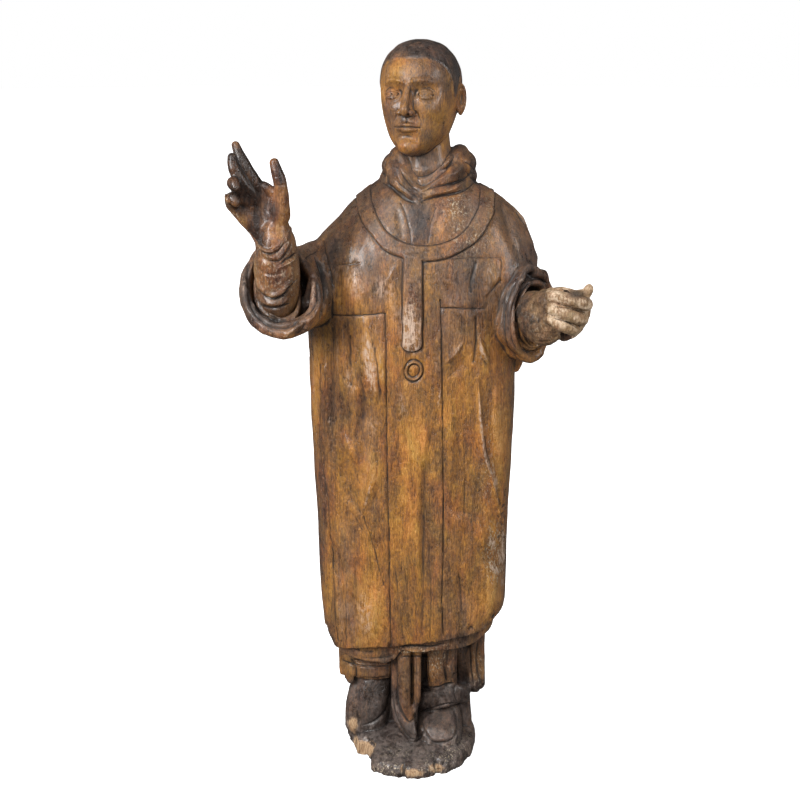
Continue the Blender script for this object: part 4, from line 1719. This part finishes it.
def body_rounding(points):
    """Where joins are rounded: the sleeves' roots, the amice and the cloth over the shoes."""
    x, y, z = points.T
    roots = ramp(0.12, 0.16, np.abs(x)) * ramp(-0.13, -0.08, y) * ramp(0.86, 0.9, z) * ramp(1.2, 1.15, z)
    collar = 0.5 * ramp(1.19, 1.21, z)
    low = 0.7 * ramp(0.27, 0.24, z) * ramp(0.055, 0.075, z)
    return np.clip(0.8 * roots + collar + low, 0, 0.8)


def hand_rounding(points):
    """Where the hand's limbs melt into one palm: between the wrist and the fingers' roots."""
    x, y, z = points.T
    palm = ramp(1.135, 1.155, z) * ramp(0.012, -0.012, z - 1.228 + 0.9 * (x + 0.295) * (x < -0.295))
    return 0.06 + 0.74 * palm * ramp(-0.232, -0.218, y)


def fist_rounding(points):
    """Where the cuff and the heel of the hand melt together, behind the fingers."""
    return 0.08 + 0.6 * ramp(-0.19, -0.175, points[:, 1])


def hand_limbs(paths, axes):
    """A limb for each path, with its top square to the axis of that letter."""
    ups = {"x": (1, 0, 0), "y": (0, 1, 0), "z": (0, 0, 1)}
    return [limb(path, up=ups[axis], around=44) for path, axis in zip(paths, axes)]


def complete(thing, relief, masks, triangles):
    """Carves a skin, keeps it inside the box, stores its masks and thins it."""
    carve(thing, relief)
    keep_within(thing)
    keep_masks(thing, masks(thing))
    thin_to(thing, triangles)


def make_figure():
    """The figure in one piece, with its head, its base and the sockets of both hands."""
    ends = HANGING_FOLDS + SLEEVE_TURNS
    body = fuse("saint_figure", [
        gown(CHASUBLE, HEM, top=CHASUBLE_TOP, rows=200, count=320),
        gown(CHASUBLE, UNDER_HEM, top=0.9, rows=90, count=280, inset=0.018),
        gown(ALB, ALB_HEM, top=0.32, rows=50, count=280, waves=0.03),
        gown(CORE, ((-180, 0.02), (180, 0.02)), top=0.26, rows=40, count=200),
        sleeve(RIGHT_SLEEVE, waves=3, lean=RIGHT_LEAN, pleats=0.03),
        sleeve(LEFT_SLEEVE, waves=4, lean=LEFT_LEAN, pleats=0.026),
        sleeve(RIGHT_INNER_SLEEVE, waves=4, lean=RIGHT_LEAN, rows=60, wavy=0.04),
        sleeve(LEFT_INNER_SLEEVE, waves=5, lean=LEFT_LEAN, rows=60, wavy=0.03),
        shoe(*RIGHT_SHOE),
        shoe(*LEFT_SHOE),
        base(),
        *[limb(sited(path), (0, 1, 0), flat=flat, square=square) for path, flat, square in ends],
        *amice(),
    ], BODY_VOXEL)
    soften(body, rounds=14, weight=body_rounding)
    complete(body, figure_relief, robe_masks, BODY_TRIANGLES)
    head = fuse("saint_head", head_parts(), HEAD_VOXEL, rounds=3)
    carve(head, head_relief)
    head.data.transform(HEAD_PLACE)
    complete(head, neck_relief, head_masks, HEAD_TRIANGLES)
    boolean(body, head, "UNION")
    for plug in (RIGHT_PLUG, LEFT_PLUG):
        boolean(body, rod("socket", *plug, PLUG_RADIUS + PLUG_PLAY), "DIFFERENCE")
    boolean(body, rod("floor", (0, 0, -0.05), (0, 0, 0), radius=0.4), "DIFFERENCE")
    return body


def make_forearm():
    """The raised hand with its tight sleeve and its plug."""
    wrist = limb(FOREARM, up=(0, 1, 0), steps=90, around=72)
    arm = fuse("raised_forearm", [wrist, *hand_limbs(RIGHT_HAND, "yyxxyyyyyyyy")], HAND_VOXEL)
    soften(arm, rounds=26, weight=hand_rounding)
    complete(arm, hand_relief, forearm_masks, HAND_TRIANGLES)
    boolean(arm, rod("plug", *RIGHT_PLUG, PLUG_RADIUS), "UNION")
    return arm


def make_fist():
    """The closed fist with its cuff, its plug and the open grip where a staff was held."""
    cuff = limb(LEFT_CUFF, steps=80, around=80, flat=1.36)
    fist = fuse("closed_fist", [cuff, *hand_limbs(LEFT_HAND, "zzzzyzzyyzz")], HAND_VOXEL)
    soften(fist, rounds=8, weight=fist_rounding)
    complete(fist, fist_relief, fist_masks, HAND_TRIANGLES)
    reach = Vector((0, 0, 0.09))
    boolean(fist, rod("grip", STAFF_HOLE - reach, STAFF_HOLE + reach, STAFF_HOLE_RADIUS), "DIFFERENCE")
    boolean(fist, rod("plug", *LEFT_PLUG, PLUG_RADIUS), "UNION")
    return fist


# Studio: pale floor, soft light and the photograph's camera.


def light(name, kind, place, target, energy, **shape):
    """A lamp at a place, turned to its target."""
    thing = placed(name, bpy.data.lights.new(name, kind))
    for key, value in {"energy": energy, **shape}.items():
        setattr(thing.data, key, value)
    thing.location = place
    thing.rotation_euler = (Vector(target) - Vector(place)).to_track_quat("-Z", "Y").to_euler()


def studio():
    """Floor, light from all round, three lamps and the camera."""
    cosine, sine = on_circle(96)
    reach = np.array((0.6, 2.0, 8.0, 40.0))[:, None]
    rings = np.stack((reach * cosine, reach * sine, 0 * reach * sine), -1)
    count = len(sine)
    i, j = np.meshgrid(np.arange(len(reach) - 1) * count, np.arange(count), indexing="ij")
    k = (j + 1) % count
    faces = np.stack((i + j, i + count + j, i + count + k, i + k), -1).reshape(-1, 4)
    floor = placed("floor", bpy.data.meshes.new("floor"))
    floor.data.from_pydata(rings.reshape(-1, 3).tolist(), [], faces.tolist() + [list(range(count))])
    pale = bpy.data.materials.new("pale_floor")
    pale.use_nodes = True
    shader = pale.node_tree.nodes["Principled BSDF"]
    looks = {"Base Color": (0.9, 0.9, 0.9), "Roughness": 0.9, "Specular IOR Level": 0.0}
    set_inputs(pale.node_tree, shader, {**looks, "Emission Color": (1, 1, 1), "Emission Strength": 0.8})
    floor.data.materials.append(pale)
    floor.visible_glossy = floor.visible_diffuse = False

    # The world is white to the camera, and dimmer as a light and as a reflection.
    world = bpy.data.worlds.new("studio")
    world.use_nodes = True
    tree = world.node_tree
    rays = add_node(tree, "LightPath")
    strength = add_node(tree, "MapRange", {"Value": rays["Is Camera Ray"], "To Min": 0.42, "To Max": 1.0})
    shine = add_node(tree, "Mix", {0: rays["Is Glossy Ray"], 2: strength["Result"], 3: 0.1})[0]
    set_inputs(tree, tree.nodes["Background"], {"Strength": shine, "Color": (1, 1, 1)})
    bpy.context.scene.world = world

    light("key", "SUN", (-1.7, -3.4, 4.0), (0, 0, 0.8), energy=2.5, angle=math.radians(42))
    box = {"shape": "RECTANGLE"}
    light("softbox_left", "AREA", (-1.9, -1.9, 1.9), (0, 0, 0.95), energy=80, **box, size=0.5, size_y=1.2)
    light("softbox_right", "AREA", (2.2, -1.2, 1.7), (0, 0, 0.9), energy=30, **box, size=0.6, size_y=1.6)

    camera = placed("camera", bpy.data.cameras.new("camera"))
    camera.data.sensor_width = 36
    camera.data.lens = camera.data.sensor_width * EYE_SPAN / (2 * EYE_MIDDLE)
    camera.location = EYE_POINT
    camera.rotation_euler = (math.pi / 2 - EYE_DROP, 0, 0)
    bpy.context.scene.camera = camera
    bpy.context.scene.view_settings.view_transform = "Standard"


figure = make_figure()
forearm = make_forearm()
fist = make_fist()
# Tones of the three woods from dark to light, in thousandths.
STAIN = numbers("""
    18 10 7, 60 31 17, 128 61 26, 218 98 28, 338 146 26, 445 212 46
""", 1000)
HAND = numbers("""
    22 11 7, 62 26 12, 118 50 18, 200 88 27, 300 145 42, 400 240 105
""", 1000)
BARE = numbers("""
    30 18 11, 85 46 24, 155 84 38, 230 130 60, 320 195 95, 450 310 180
""", 1000)
# Each finish: its tones, then those of the bloom and of rubbed wood.
stained = finish(
    "stained_wood", STAIN, (0.172, 0.138, 0.122), (0.47, 0.335, 0.245), roughness=0.36, varnish=0.3)
hand_wood = finish(
    "hand_wood", HAND, (0.22, 0.155, 0.12), (0.4, 0.28, 0.17), roughness=0.33, varnish=0.35)
bare_wood = finish(
    "bare_wood", BARE, (0.24, 0.19, 0.15), (0.6, 0.45, 0.31), roughness=0.5, varnish=0.08)
dress(figure, stained, "figure")
dress(forearm, hand_wood, "right_forearm")
dress(fist, bare_wood, "left_fist")
studio()
